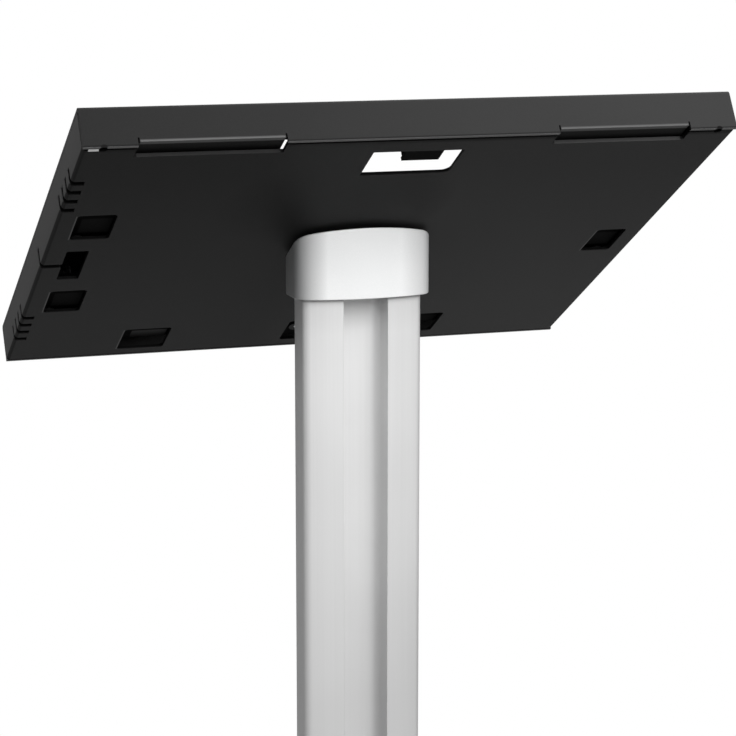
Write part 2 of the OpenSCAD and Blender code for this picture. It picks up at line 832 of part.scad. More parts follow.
module head_block() {
    color("#b9bbbd") difference() {
        translate([0, 0, mast_top]) linear_extrude(over * 2) oval();
        above_head();
        on_pivot(-over) cylinder(r = pivot_r + shaft_gap, h = over * 2);
        on_pivot(-head_gap - seat_t - over) cylinder(r = pocket_r, h = over);
        on_pivot(0) translate([0, -stop_r, -stop_depth - seat_gap])
            cylinder(r = stop_pin_r + screw_gap / 2, h = over);
        translate([0, 0, mast_top]) at_ports() {
            translate([0, 0, -1]) cylinder(r = port_r, h = over);
            translate([0, 0, head_screw_seat]) cylinder(r = port_boss_r, h = over);
        }
    }
}

module head_screws() {
    color("#8f9194") translate([0, 0, mast_top]) at_ports() difference() {
        union() {
            translate([0, 0, -port_bite])
                cylinder(r = port_r - screw_gap / 2, h = port_bite + head_screw_seat + eps);
            translate([0, 0, head_screw_seat]) cylinder(r = port_boss_r - screw_gap, h = port_head_h);
        }
        translate([0, 0, head_screw_seat + port_head_h - 2]) linear_extrude(over) hexagon(port_socket);
    }
}

module friction_washer() {
    color("#d8d2c0") on_pivot(-head_gap) difference() {
        cylinder(r = washer_r, h = head_gap - seat_gap);
        translate([0, 0, -1]) cylinder(r = pivot_r + screw_gap, h = head_gap + 2);
    }
}

module pivot_bolt() {
    color("#b5b7b9") on_pivot(0) difference() {
        union() {
            translate([0, 0, plate_w + seat_gap]) cylinder(r = pivot_head_r, h = pivot_head_t);
            translate([0, 0, -nut_end - 1.4]) cylinder(r = pivot_r, h = nut_end + plate_w + 2);
        }
        translate([0, 0, plate_w + pivot_head_t / 2]) linear_extrude(over) hexagon(pivot_socket);
    }
}

// One coned spring ring, or its mirror image, as an outline to turn
module spring_ring(low, high, thick) {
    inner = pivot_r + 0.3;
    outer = pocket_r - 0.6;
    polygon([[inner, low], [outer, high], [outer, high + thick], [inner, low + thick]]);
}

module disc_springs() {
    thick = 0.7;
    rise = spring_h / 2 - thick - 0.05;
    color("#7c7e80") on_pivot(-nut_start) {
        rotate_extrude() spring_ring(0.02, rise, thick);
        rotate_extrude() spring_ring(spring_h - thick - 0.02, spring_h - rise - thick, thick);
    }
}

module pivot_nut() {
    color("#a9abad") on_pivot(-nut_end) difference() {
        linear_extrude(pivot_nut_t) hexagon(pivot_nut_flats);
        translate([0, 0, -1]) cylinder(r = pivot_r + screw_gap / 2, h = pivot_nut_t + 2);
    }
}

module stop_pin() {
    color("#8f9194") on_pivot(0) translate([0, -stop_r, -stop_depth])
        cylinder(r = stop_pin_r, h = stop_depth + stop_end);
}

// The curved slot that the stop pin runs in, from the rear side towards the left
module stop_slot(h) {
    width = 2 * (stop_pin_r + slide_gap);
    rotate([0, 0, -90 - swivel_range]) {
        rotate_extrude(angle = swivel_range)
            translate([stop_r - width / 2, 0]) square([width, h]);
        translate([stop_r, 0, 0]) cylinder(d = width, h = h);
    }
    rotate([0, 0, -90]) translate([stop_r, 0, 0]) cylinder(d = width, h = h);
}

// The cuts that the swivel bolt and stop pin need through the sheets above w
module swivel_cuts(w) {
    translate([mid_u, pivot_v, w]) {
        cylinder(r = pivot_r + shaft_gap, h = 10);
        stop_slot(10);
    }
}

// Places children at a bracket's lip, with X pointing inwards, on the studs' shoulders
module at_bracket(row) {
    in_panel() translate([row[0], row[1], bracket_seat]) rotate([0, 0, row[2]]) children();
}

// Stud places of a side or bottom bracket, from the middle of its lip
stud_places = [for (side = [-1, 1]) [-stud_back, side * (bracket_len / 2 - stud_end)]];

top_stud = [-top_stud_back, 0];

module slot_hole(at) {
    translate([at[0], at[1], -1]) linear_extrude(bracket_t + 2) {
        square([slot_len - 2 * stud_r, 2 * (stud_r + screw_gap)], center = true);
        for (side = [-1, 1])
            translate([side * (slot_len / 2 - stud_r), 0]) circle(stud_r + screw_gap);
    }
}

module bracket(row) {
    at_bracket(row) difference() {
        union() {
            translate([-row[3], -bracket_len / 2, 0])
                cube([row[3] + bracket_in, bracket_len, bracket_t]);
            translate([-bracket_t, -lip_len / 2, 0]) cube([bracket_t, lip_len, lip_h]);
        }
        for (at = stud_places) slot_hole(at);
    }
}

// A stud with its shoulder, in the enclosure's frame
module stud(row, at) {
    translate([row[0], row[1], sheet - eps]) rotate([0, 0, row[2]]) translate([at[0], at[1], 0]) {
        cylinder(r = shoulder_r, h = bracket_lift + eps);
        cylinder(r = stud_r, h = bracket_lift + eps + stud_h);
    }
}

// The camera cut-out: sharp but for its lower right corner
module one_round(row, r) {
    translate([row[0], row[1]]) {
        square([row[2] - r, row[3]]);
        square([row[2], row[3] - r]);
        translate([row[2] - r, row[3] - r]) circle(r);
    }
}

module rear_tray() {
    color("#1f2022") in_panel() difference() {
        union() {
            along(tray_top, tray_bottom) bent_sheet(panel_w, wall_top);
            for (row = bracket_rows, at = stud_places) stud(row, at);
            stud(top_row, top_stud);
            for (u = [corner_tab[0], panel_w - corner_tab[0] - corner_tab[1]])
                translate([u, sheet + tab_gap, 0]) cube([corner_tab[1], tray_top, sheet]);
        }
        for (zone = hook_zones)
            translate([zone[0], -1, -1]) cube([zone[1] - zone[0], notch_d + 1, panel_t]);
        for (at = relief_at)
            translate([at[0], at[1], -1]) cylinder(r = relief_r, h = sheet + 2);
        translate([0, 0, -1]) linear_extrude(sheet + 2) {
            one_round(camera_cut, camera_r);
            window(cable_cut, 1);
            window(lock_cut, cut_r);
            for (row = bracket_cuts) window(row, cut_r);
        }
        translate([-1, cable_cut[1] + slit_drop, -1]) cube([cable_cut[0] + 2, slit, slit_w + 1]);
        for (start = vent_starts, i = [0 : 3])
            translate([-1, start + i * vent_pitch - slit / 2, -1]) cube([vent_u + 1, slit, vent_w + 1]);
        swivel_cuts(-1);
    }
}

module swivel_plate() {
    color("#6d6f71") in_panel() difference() {
        translate([mid_u, pivot_v, sheet]) linear_extrude(swivel_t)
            rounded_middle([swivel_w, swivel_h], swivel_corner_r);
        swivel_cuts(1);
    }
}

module top_bracket() {
    color("#2c2d2f") at_bracket(top_row) difference() {
        union() {
            translate([-top_out, -top_bracket_len / 2, 0])
                cube([top_out + edge_pad_t, top_bracket_len, bracket_t]);
            translate([-bracket_t, -top_bracket_len / 2, 0]) cube([bracket_t, top_bracket_len, lip_h]);
        }
        slot_hole(top_stud);
    }
}

module left_upper_bracket() {
    color("#2c2d2f") bracket(bracket_rows[0]);
}

module left_lower_bracket() {
    color("#2c2d2f") bracket(bracket_rows[1]);
}

module right_bracket() {
    color("#2c2d2f") bracket(bracket_rows[2]);
}

module bottom_left_bracket() {
    color("#2c2d2f") bracket(bracket_rows[3]);
}

module bottom_right_bracket() {
    color("#2c2d2f") bracket(bracket_rows[4]);
}

module bracket_nut(at) {
    translate([at[0], at[1], bracket_t]) difference() {
        linear_extrude(nut_t) hexagon(nut_flats);
        translate([0, 0, -1]) cylinder(r = stud_r + screw_gap / 2, h = nut_t + 2);
    }
}

module bracket_nuts() {
    color("#a9abad") {
        for (row = bracket_rows)
            at_bracket(row) for (at = stud_places) bracket_nut(at);
        at_bracket(top_row) bracket_nut(top_stud);
    }
}

module support_pads() {
    color("#3a3a3a") for (row = bracket_rows)
        at_bracket(row) translate([bracket_in - support_pad_w - 1, -support_pad_len / 2, bracket_t])
            cube([support_pad_w, support_pad_len, support_pad_h]);
}

module edge_pads() {
    low = bracket_t + 0.5;
    color("#3a3a3a") {
        for (row = bracket_rows)
            at_bracket(row) translate([0, -support_pad_len / 2, low])
                cube([edge_pad_t, support_pad_len, lip_h - low]);
        at_bracket(top_row) translate([0, 1 - top_bracket_len / 2, low])
            cube([edge_pad_t, top_bracket_len - 2, lip_h - low]);
    }
}

module lock_plate() {
    color("#2c2d2f") in_panel() difference() {
        translate([mid_u - lock_plate[0] / 2, lock_v + lock_plate_low - lock_plate[1], sheet])
            linear_extrude(lock_plate_t) rounded(lock_plate, 2);
        translate([mid_u, lock_v, 0]) cylinder(r = barrel_r + screw_gap, h = panel_t);
    }
}

module lock_barrel() {
    color("#1c1d1e") in_panel() translate([mid_u, lock_v, 0]) difference() {
        union() {
            translate([0, 0, barrel_face_w]) cylinder(r = barrel_face_r, h = sheet - barrel_face_w);
            translate([0, 0, sheet - eps]) cylinder(r = barrel_r, h = barrel_len + eps);
        }
        translate([0, 0, -1]) cylinder(r = plug_r + shaft_gap, h = panel_t);
    }
}

module lock_nut() {
    color("#a9abad") in_panel() translate([mid_u, lock_v, sheet + lock_plate_t]) difference() {
        linear_extrude(lock_nut_t) hexagon(lock_nut_flats);
        translate([0, 0, -1]) cylinder(r = barrel_r + screw_gap / 2, h = lock_nut_t + 2);
    }
}

module front_cover() {
    tongue_w = sheet + tongue_gap;
    slot_in = tongue_side - tongue_slot;
    color("#1f2022") in_panel() difference() {
        union() {
            across(0, panel_w) difference() {
                translate([0, panel_t]) mirror([0, 1]) bent_sheet(panel_h, panel_t);
                translate([-1, -1]) square([panel_h + 2, 1]);
            }
            for (zone = hook_zones)
                across(zone[0] + tongue_side, zone[1] - tongue_side) {
                    difference() {
                        translate([0, tongue_w]) bent(over, over, bend_r);
                        translate([sheet, tongue_w + sheet]) bent(over, over, bend_r - sheet);
                        translate([-1, tongue_w + bend_r + 1]) square([over * 3, over * 2]);
                        translate([tongue_len, 0]) square([over * 3, over * 2]);
                    }
                }
            translate([mid_u - catch_w / 2, panel_h - sheet - catch_len, catch_z])
                cube([catch_w, catch_len + eps, catch_t]);
        }
        for (zone = hook_zones)
            difference() {
                translate([zone[0] + slot_in, -1, -1])
                    cube([zone[1] - zone[0] - 2 * slot_in, sheet + 1 + top_gap, tongue_w + bend_r + 1]);
                translate([zone[0] + tongue_side, -2, tongue_w - eps])
                    cube([zone[1] - zone[0] - 2 * tongue_side, over, over]);
            }
        for (at = relief_at)
            translate([at[0], at[1], -1]) cylinder(r = relief_r, h = relief_rise + 1);
        translate([0, 0, frame_in - 1]) linear_extrude(sheet + 2) window(display, display_r);
    }
}

module window_gasket() {
    side = gasket_back + gasket_w;
    end = gasket_w - gasket_back;
    outer = [display[0] - side, display[1] - end, display[2] + 2 * side, display[3] + 2 * end];
    inner = [display[0] - gasket_back, display[1] - gasket_back,
             display[2] + 2 * gasket_back, display[3] + 2 * gasket_back];
    color("#2a2a2a") in_panel() translate([0, 0, frame_in - gasket_t]) linear_extrude(gasket_t)
        difference() {
            window(outer, display_r);
            window(inner, display_r);
        }
}

module lock_plug() {
    color("#9a9c9f") in_panel() translate([mid_u, lock_v, 0]) difference() {
        union() {
            translate([0, 0, barrel_face_w]) cylinder(r = plug_r, h = cam_start - barrel_face_w);
            translate([0, 0, cam_start - eps]) cylinder(r = cam_bore_r - screw_gap / 2, h = cam_t);
        }
        translate([-keyhole[0] / 2, -keyhole[1] / 2, 0]) cube([keyhole[0], keyhole[1], barrel_len / 2]);
        translate([0, 0, cam_start - cam_screw_bite]) cylinder(r = cam_screw_r + screw_gap / 2, h = over);
    }
}

module lock_cam() {
    color("#8f9194") in_panel() translate([mid_u, lock_v, cam_start]) difference() {
        linear_extrude(cam_t) {
            circle(cam_w / 2);
            translate([0, -cam_w / 2]) square([cam_len - cam_w / 4, cam_w]);
            translate([cam_len - cam_w / 4 - eps, 0]) intersection() {
                circle(cam_w / 2);
                square([cam_w / 2, 2 * cam_w], center = true);
            }
        }
        translate([0, 0, -1]) cylinder(r = cam_bore_r, h = cam_t + 2);
    }
}

module cam_screw() {
    color("#b5b7b9") in_panel() translate([mid_u, lock_v, cam_start]) {
        translate([0, 0, cam_t]) cylinder(r = cam_head_r, h = cam_head_t);
        translate([0, 0, seat_gap - cam_screw_bite])
            cylinder(r = cam_screw_r, h = cam_screw_bite - seat_gap + cam_t + eps);
    }
}

base_plate();
rubber_feet();
column_foot();
base_screws();
lower_column();
cross_screws();
cable_grommet();
guide_bush();
clamp_housing();
brake_pad();
clamp_screw();
clamp_knob();
mast();
glide_shoe();
glide_screws();
collar();
head_block();
head_screws();
friction_washer();
pivot_bolt();
disc_springs();
pivot_nut();
stop_pin();
rear_tray();
swivel_plate();
top_bracket();
left_upper_bracket();
left_lower_bracket();
right_bracket();
bottom_left_bracket();
bottom_right_bracket();
bracket_nuts();
support_pads();
edge_pads();
lock_plate();
lock_barrel();
lock_nut();
front_cover();
window_gasket();
lock_plug();
lock_cam();
cam_screw();
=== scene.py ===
import json
import math

import bmesh
import bpy
from mathutils import Matrix, Vector


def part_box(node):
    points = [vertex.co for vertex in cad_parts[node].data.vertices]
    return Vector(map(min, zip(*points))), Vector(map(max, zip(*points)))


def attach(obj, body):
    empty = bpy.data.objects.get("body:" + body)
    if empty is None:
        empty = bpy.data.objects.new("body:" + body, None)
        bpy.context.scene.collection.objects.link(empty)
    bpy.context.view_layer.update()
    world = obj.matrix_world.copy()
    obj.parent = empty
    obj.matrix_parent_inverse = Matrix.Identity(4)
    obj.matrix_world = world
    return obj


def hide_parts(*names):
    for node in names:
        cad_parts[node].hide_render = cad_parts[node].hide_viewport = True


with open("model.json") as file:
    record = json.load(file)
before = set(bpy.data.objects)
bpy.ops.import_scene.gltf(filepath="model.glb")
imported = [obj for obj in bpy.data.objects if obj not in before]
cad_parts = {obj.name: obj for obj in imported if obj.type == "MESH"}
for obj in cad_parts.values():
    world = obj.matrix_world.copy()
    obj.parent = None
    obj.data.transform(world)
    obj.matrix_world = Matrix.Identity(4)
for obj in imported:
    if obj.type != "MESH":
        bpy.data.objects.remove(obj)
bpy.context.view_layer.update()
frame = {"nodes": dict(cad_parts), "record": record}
nodes = frame["nodes"]
slotOf = {row["node"]: row["material_slot"] for row in frame["record"]["subparts"]}
bodyOf = {node: body for body, group in frame["record"]["behaviour"]["bodies"].items() for node in group}
mm = 0.001
weld = 0.002 * mm      # points closer than this are one
hardAngle = 32         # an edge that turns more than this stays hard
sides = (-1, 1)
quarters = ((1, 1), (-1, 1), (-1, -1), (1, -1))

# The enclosure in mm. Its own frame runs across, down its slope, and deep from its rear face to its screen
enclosure = {
    "tilt": 31, "pivotHeight": 1074, "pivotForward": 7, "pivotDown": 116.6,
    "width": 291, "height": 243.5, "thick": 18.5, "sheet": 1.6, "bend": 1.9,
    "hooks": ((23.5, 85), (207.6, 268)), "reliefs": (8.6, 282.4),
}
axes = ("across", "down", "deep")
panelFrame = (Matrix.Translation((0, enclosure["pivotForward"] * mm, enclosure["pivotHeight"] * mm))
              @ Matrix.Rotation(-math.radians(enclosure["tilt"]), 4, "X")
              @ Matrix.Translation((-enclosure["width"] / 2 * mm, -enclosure["pivotDown"] * mm, 0)))


def report(stage):
    print("stand:", stage)


# Shader maths written as sums on sockets
class Wire:
    def __init__(self, finish, socket):
        self.finish = finish
        self.socket = socket

    def sum(self, operation, first, second):
        return self.finish.add("ShaderNodeMath", {"operation": operation}, {0: first, 1: second})

    def __add__(self, other):
        return self.sum("ADD", self, other)

    def __radd__(self, other):
        return self.sum("ADD", other, self)

    def __sub__(self, other):
        return self.sum("SUBTRACT", self, other)

    def __rsub__(self, other):
        return self.sum("SUBTRACT", other, self)

    def __mul__(self, other):
        return self.sum("MULTIPLY", self, other)

    def __rmul__(self, other):
        return self.sum("MULTIPLY", other, self)

    def __truediv__(self, other):
        return self.sum("DIVIDE", self, other)

    def __pow__(self, other):
        return self.sum("POWER", self, other)

    def over(self, other):
        return self.sum("MAXIMUM", self, other)

    def kept(self, low=0.0, high=1.0):
        return self.finish.add("ShaderNodeClamp", {}, {"Value": self, "Min": low, "Max": high})

    def ramped(self, low, high):
        return ((self - low) / (high - low)).kept()

    # One from low to high, with a fade inside each end
    def between(self, low, high, fadeIn, fadeOut):
        return (self - low).ramped(0, fadeIn) * (high - self).ramped(0, fadeOut)


# A written colour as linear values
def linear(shade):
    parts = [int(shade[k:k + 2], 16) / 255 for k in (1, 3, 5)]
    return tuple(c / 12.92 if c <= 0.04045 else ((c + 0.055) / 1.055) ** 2.4 for c in parts) + (1,)


class Finish:
    def __init__(self, name):
        self.material = bpy.data.materials.new(name)
        self.material.use_nodes = True
        self.tree = self.material.node_tree
        self.tree.nodes.clear()
        self.panel = {}

    def add(self, kind, settings, sockets, out=0):
        node = self.tree.nodes.new(kind)
        for key, value in settings.items():
            setattr(node, key, value)
        for key, value in sockets.items():
            if isinstance(value, Wire):
                self.tree.links.new(value.socket, node.inputs[key])
            else:
                node.inputs[key].default_value = value
        return Wire(self, node.outputs[out]) if node.outputs else None

    def spot(self, stretch=(1, 1, 1)):
        place = self.add("ShaderNodeTexCoord", {}, {}, "Object")
        return self.add("ShaderNodeMapping", {}, {"Vector": place, "Scale": stretch})

    # A coordinate of the whole stand, in mm
    def along(self, axis):
        return self.add("ShaderNodeSeparateXYZ", {}, {"Vector": self.spot()}, axis) * (1 / mm)

    # A coordinate of the enclosure's own frame, in mm
    def inPanel(self, axis):
        if axis not in self.panel:
            toPanel = panelFrame.inverted()
            place = self.add("ShaderNodeTexCoord", {}, {}, "Object")
            moved = self.add("ShaderNodeMapping", {}, {
                "Vector": place, "Location": toPanel.translation / mm, "Rotation": toPanel.to_euler(),
                "Scale": (1 / mm, 1 / mm, 1 / mm)})
            for k, name in enumerate(axes):
                self.panel[name] = self.add("ShaderNodeSeparateXYZ", {}, {"Vector": moved}, k)
        return self.panel[axis]

    # One inside a zone of the enclosure's frame
    def zone(self, name):
        ends = []
        for axis, (start, fadeIn, end, fadeOut) in zones[name].items():
            if start is not None:
                ends.append((self.inPanel(axis) - start).ramped(0, fadeIn))
            if end is not None:
                ends.append((end - self.inPanel(axis)).ramped(0, fadeOut))
        return math.prod(ends)

    # One where the cover's hook tongues are
    def inHooks(self):
        left, right = [self.inPanel("across").between(a, b, 0.5, 0.5) for a, b in enclosure["hooks"]]
        return (left + right).kept()

    def noise(self, scale, detail=2, rough=0.5, spot=None):
        return self.add("ShaderNodeTexNoise", {}, {"Vector": spot or self.spot(), "Scale": scale,
                                                   "Detail": detail, "Roughness": rough})

    def clouds(self, scale, detail=2):
        return self.noise(scale, detail).ramped(0.3, 0.7)

    def grains(self, scale):
        return self.noise(scale).ramped(0.25, 0.75)

    def peel(self, coarse, fine):
        return self.noise(coarse) * 0.7 + self.noise(fine, 1) * 0.3

    def cells(self, scale):
        return self.add("ShaderNodeTexVoronoi", {}, {"Vector": self.spot(), "Scale": scale})

    def blend(self, mask, low, high):
        low, high = [linear(c) if isinstance(c, str) else c for c in (low, high)]
        return self.add("ShaderNodeMix", {"data_type": "RGBA"}, {"Factor": mask, 6: low, 7: high}, 2)

    # A bump of a height that runs from nought to one, by a distance in mm
    def bump(self, height, distance):
        return self.add("ShaderNodeBump", {}, {"Height": height, "Distance": distance * mm})

    def close(self, sockets):
        shader = self.add("ShaderNodeBsdfPrincipled", {}, sockets)
        self.add("ShaderNodeOutputMaterial", {}, {"Surface": shader})
        return self.material


# Zones of the enclosure's frame in mm: on each axis its start and the fade there, its end and the fade
skin = (None, 0, 0.3, 0.15)
zones = {
    "rearSide": {"deep": (None, 0, 0.6, 0.4)},
    "skin": {"deep": skin},
    "topWall": {"down": (None, 0, 0.8, 0.4)},
    "leftWall": {"across": (None, 0, 0.9, 0.5), "down": (0.6, 1.6, None, 0)},
    "frontFace": {"deep": (enclosure["thick"] - 0.4, 0.2, None, 0)},
    "tray": {"down": (2.2, 0.3, enclosure["height"] - 2.2, 0.3)},
    "notch": {"down": (8, 1, 12.5, 1)},
    "notchEdge": {"down": (9.8, 0.2, 10.6, 0.3), "deep": (None, 0, 1.9, 0.1)},
    "hook": {"down": (None, 0, 2.6, 0.6), "deep": (1.7, 0.3, 3.1, 0.7)},
    "tongue": {"down": (2.5, 0.7, None, 0), "deep": (1.7, 0.15, 3.7, 0.2)},
    "seam": {"down": (None, 0, 0.6, 0.2), "deep": (0.05, 0.1, 1, 0.3)},
    "gap": {"down": (1.8, 0.2, 5.8, 1.6), "deep": skin},
    "topRim": {"down": (None, 0, 1.8, 0.3), "deep": (None, 0, 0.15, 0.1)},
    "lowRim": {"down": (enclosure["height"] - 1.4, 0.4, None, 0), "deep": (None, 0, 0.9, 0.4)},
    # Where the corner tabs get a painted bright strip
    "tab": {"across": (2.4, 0.2, 7, 0.2), "down": (1.85, 0.1, 4, 0.3), "deep": skin},
    "plate": {"deep": (None, 0, 5.2, 0.1)},
    "litPlate": {"across": (52, 1, 80, 1), "down": (None, 0, 226, 6)},
    "gasketStrip": {"across": (None, 0, 30, 1), "down": (141, 1, 150, 1)},
}
# Windows over the brackets, in mm, with the shaded strips at their left and at their top
bracketWindows = [
    {"left": 8.6, "top": 68.2, "wide": 17.6, "high": 25.9, "leftStrip": 4, "topStrip": 11},
    {"left": 9.2, "top": 153.6, "wide": 17.2, "high": 26.3, "leftStrip": 4, "topStrip": 11},
    {"left": 266.8, "top": 109.05, "wide": 15.1, "high": 25.4, "leftStrip": 4, "topStrip": 11},
    {"left": 54, "top": 208.7, "wide": 23.4, "high": 26.5, "leftStrip": 5.6, "topStrip": 10.6},
    {"left": 196.8, "top": 208.8, "wide": 23, "high": 25.2, "leftStrip": 4, "topStrip": 11},
    {"left": 126.6, "top": 13.5, "wide": 41, "high": 23, "leftStrip": 1.4, "topStrip": 5.1},
]
windowFade = {"across": 0.3, "down": 0.5}  # to either side of a strip's edge
# Painted highlights: a light strip beside the left edge of each bracket window
windowRim = {"wide": 0.8, "fades": (0.3, 0.2), "endFades": (1, 1), "strength": 0.6}


# Powder coat: a fine orange peel with a darker and lighter cloud in it
def coat(name, dark, light, peel, depth, rough, specular):
    f = Finish(name)
    cloud, grain = f.clouds(11, 3), f.grains(peel * 1.9)
    shade = f.blend((cloud * 0.45 + grain * 0.55).kept(), dark, light)
    return f.close({"Base Color": shade, "Roughness": rough - 0.05 + grain * 0.08 + cloud * 0.03,
                    "Specular IOR Level": specular, "Normal": f.bump(f.peel(peel, peel * 2.6), depth)})


# The sheet's colours: its coat, a lighter grey for painted light on the left wall, near black for painted
# shade, a light grey for painted highlights and white for a painted bright strip at the corner tabs
sheetCoat = {"dark": "#101010", "light": "#353535", "wall": "#565656", "cut": "#050505",
             "paintedHighlight": "#5c5c5c", "tab": "#d8d8d8", "specular": 0.06}
# How strong each tone and mark of the sheet is, and from where to where its faces grow lighter, in mm.
# Besides cloud and grain, these are painted light: lighter faces, painted shade at bends, seams and gaps,
# and painted highlights on rims and notch edges
sheetTones = {
    "cloud": 0.1, "grain": 0.12, "lightAcross": (120, 178), "lightDown": (30, 190), "right": 0.4,
    "lowRight": 0.1, "low": 0.27, "topLeft": 0.22, "topRight": 0.72, "front": 0.4, "wall": 0.84,
    "lowWall": 0.16, "lowWallFrom": 60, "wallGrain": 0.1, "bend": 0.9, "seam": 0.6, "gap": 0.95,
    "topRim": 1.3, "hook": 1.1, "mostRim": 1.3, "notchEdge": 0.22, "notchEdgeRight": 0.3,
    "notchLightAcross": (150, 280), "leastHighlight": 0.7, "uneven": 0.4,
}
# A painted shadow round the collar on the rear face
collarShade = {"across": 124, "down": 66, "halfWidth": 56, "halfHeight": 46, "strength": 0.75}
# Painted shade: a dark dot at each relief hole
reliefMark = {"down": 1.2, "halfWidth": 1.5, "halfHeight": 3, "depth": 1.3, "reach": 1.25, "fade": 0.5}
# How far under the sheet's outer skin its painted shade on cut edges starts and ends, and what counts as a
# bend
sheetEdge = {"from": 0.3, "fromFade": 0.15, "short": 0.05, "shortFade": 0.1,
             "bendTo": 0.45, "bendFade": 0.2, "bendStart": 0.7, "bendFull": 1.3}


# The enclosure's sheet: the same coat, with painted shade on its cut edges, bends and gaps, and painted
# highlights on its rims
def sheetFinish():
    f = Finish("sheetCoat")
    c, t, e, edge = sheetCoat, sheetTones, enclosure, sheetEdge
    cloud, grain = f.clouds(11, 3), f.grains(2200)
    across, down, deep = [f.inPanel(axis) for axis in axes]
    rearSide, tray, hooked = f.zone("rearSide"), f.zone("tray"), f.inHooks()

    # Painted light: the rear face lighter to the right and downwards, the top wall lighter to the right,
    # the front face lighter
    low = down.ramped(*t["lightDown"])
    right = across.ramped(*t["lightAcross"]) * (t["right"] + low * t["lowRight"])
    rearTone = (right + low * t["low"]) * rearSide
    topTone = f.zone("topWall") * (t["topLeft"] + across.ramped(0, e["width"]) * t["topRight"])
    tone = cloud * t["cloud"] + grain * t["grain"] + rearTone + topTone + f.zone("frontFace") * t["front"]
    shade = f.blend(tone.kept(), c["dark"], c["light"])

    # Painted shadow of the collar on the rear face
    s = collarShade
    far = ((across - s["across"]) / s["halfWidth"]) ** 2 + ((down - s["down"]) / s["halfHeight"]) ** 2
    nearCollar = (1 - far).kept() * rearSide * s["strength"]
    # Painted light on the left wall, lighter towards its lower end
    lowWall = down.ramped(t["lowWallFrom"], e["height"]) * t["lowWall"]
    wallTone = t["wall"] + lowWall - grain * t["wallGrain"]

    # How far under the skin a point lies, round the bends at the sides
    r = e["bend"]
    aside = (r - across).over(r - (e["width"] - across)).over(0.0)
    behind = (r - deep).over(0.0)
    under = r - (aside ** 2 + behind ** 2) ** 0.5
    # Painted shade: near black on the cut edges, away from the notches, and on the bends at the sides
    cutEdgeShade = under.between(edge["from"], e["sheet"] - edge["short"], edge["fromFade"], edge["shortFade"])
    cutEdgeShade = cutEdgeShade * tray * (1 - f.zone("notch"))
    bend = (edge["bendTo"] - under).ramped(0, edge["bendFade"])
    bend = bend * (aside * behind).ramped(edge["bendStart"], edge["bendFull"]) * tray * t["bend"]
    # Painted shade in the seam and the gap between tray and cover, away from the hooks
    gaps = (f.zone("seam") * t["seam"] + f.zone("gap") * t["gap"]).kept() * (1 - hooked)

    # Painted highlights on the top and lower rims, the hook tongues' bends, the notches' far edges and
    # beside the bracket windows, unevenly strong
    rims = f.zone("topRim") * t["topRim"] + f.zone("lowRim") + f.zone("hook") * hooked * t["hook"]
    notchTone = t["notchEdge"] + across.ramped(*t["notchLightAcross"]) * t["notchEdgeRight"]
    paintedHighlight = rims.kept(0, t["mostRim"]) + f.zone("notchEdge") * hooked * notchTone
    paintedHighlight = paintedHighlight * (t["leastHighlight"] + f.noise(90, 3) * t["uneven"])
    onSkin = f.zone("skin")
    for w in bracketWindows[:-1]:
        side = across.between(w["left"] - windowRim["wide"], w["left"], *windowRim["fades"])
        side = side * down.between(w["top"], w["top"] + w["high"], *windowRim["endFades"])
        paintedHighlight = paintedHighlight + side * onSkin * windowRim["strength"]

    # The marks: painted shadow, painted light on the left wall, painted shade on cut edges, bends, hook
    # tongues and gaps, painted highlights, and the painted bright strip
    marks = [(nearCollar, "cut"), (f.zone("leftWall") * wallTone, "wall"), (cutEdgeShade, "cut"), (bend, "cut"),
             (f.zone("tongue") * hooked, "cut"), (gaps, "cut"), (paintedHighlight.kept(), "paintedHighlight"),
             (f.zone("tab"), "tab")]
    # Painted shade at the relief holes
    m = reliefMark
    for centre in e["reliefs"]:
        far = (((across - centre) / m["halfWidth"]) ** 2 + ((down - m["down"]) / m["halfHeight"]) ** 2
               + (deep / m["depth"]) ** 2)
        marks.append(((m["reach"] - far).ramped(0, m["fade"]), "cut"))
    for mask, mark in marks:
        shade = f.blend(mask, shade, c[mark])
    return f.close({"Base Color": shade, "Roughness": 0.45 + grain * 0.08 + cloud * 0.03 - paintedHighlight * 0.1,
                    "Specular IOR Level": c["specular"], "Normal": f.bump(f.peel(1150, 3000), 0.03)})


# The brackets' colours: their coat, near black for painted shade under the tray's sheet, and a lighter grey
# for painted light on one plate seen through a window
bracketCoat = {"dark": "#0f0f0f", "light": "#181818", "covered": "#030303", "lit": "#3a3a3a",
               "litStrength": 0.9}


# The brackets: the same coat, with painted shade, black where the tray covers them, and painted light on
# one plate
def bracketFinish():
    f = Finish("bracketCoat")
    c, a, d = bracketCoat, windowFade["across"], windowFade["down"]
    shown = []
    for w in bracketWindows:
        left, right = w["left"] + w["leftStrip"] - a, w["left"] + w["wide"] + a
        top, low = w["top"] + w["topStrip"] - d, w["top"] + w["high"] + d
        inWidth = f.inPanel("across").between(left, right, 2 * a, 2 * a)
        shown.append(inWidth * f.inPanel("down").between(top, low, 2 * d, 2 * d))
    shown = sum(shown).kept()
    grain, plate = f.grains(2200), f.zone("plate")
    shade = f.blend(grain, c["dark"], c["light"])
    # Painted shade where the tray covers the brackets, and painted light on one plate
    shade = f.blend(plate * (1 - shown), shade, c["covered"])
    shade = f.blend(f.zone("litPlate") * plate * shown * c["litStrength"], shade, c["lit"])
    return f.close({"Base Color": shade, "Roughness": 0.6 + grain * 0.08, "Specular IOR Level": 0.01,
                    "Normal": f.bump(f.noise(1150), 0.03)})


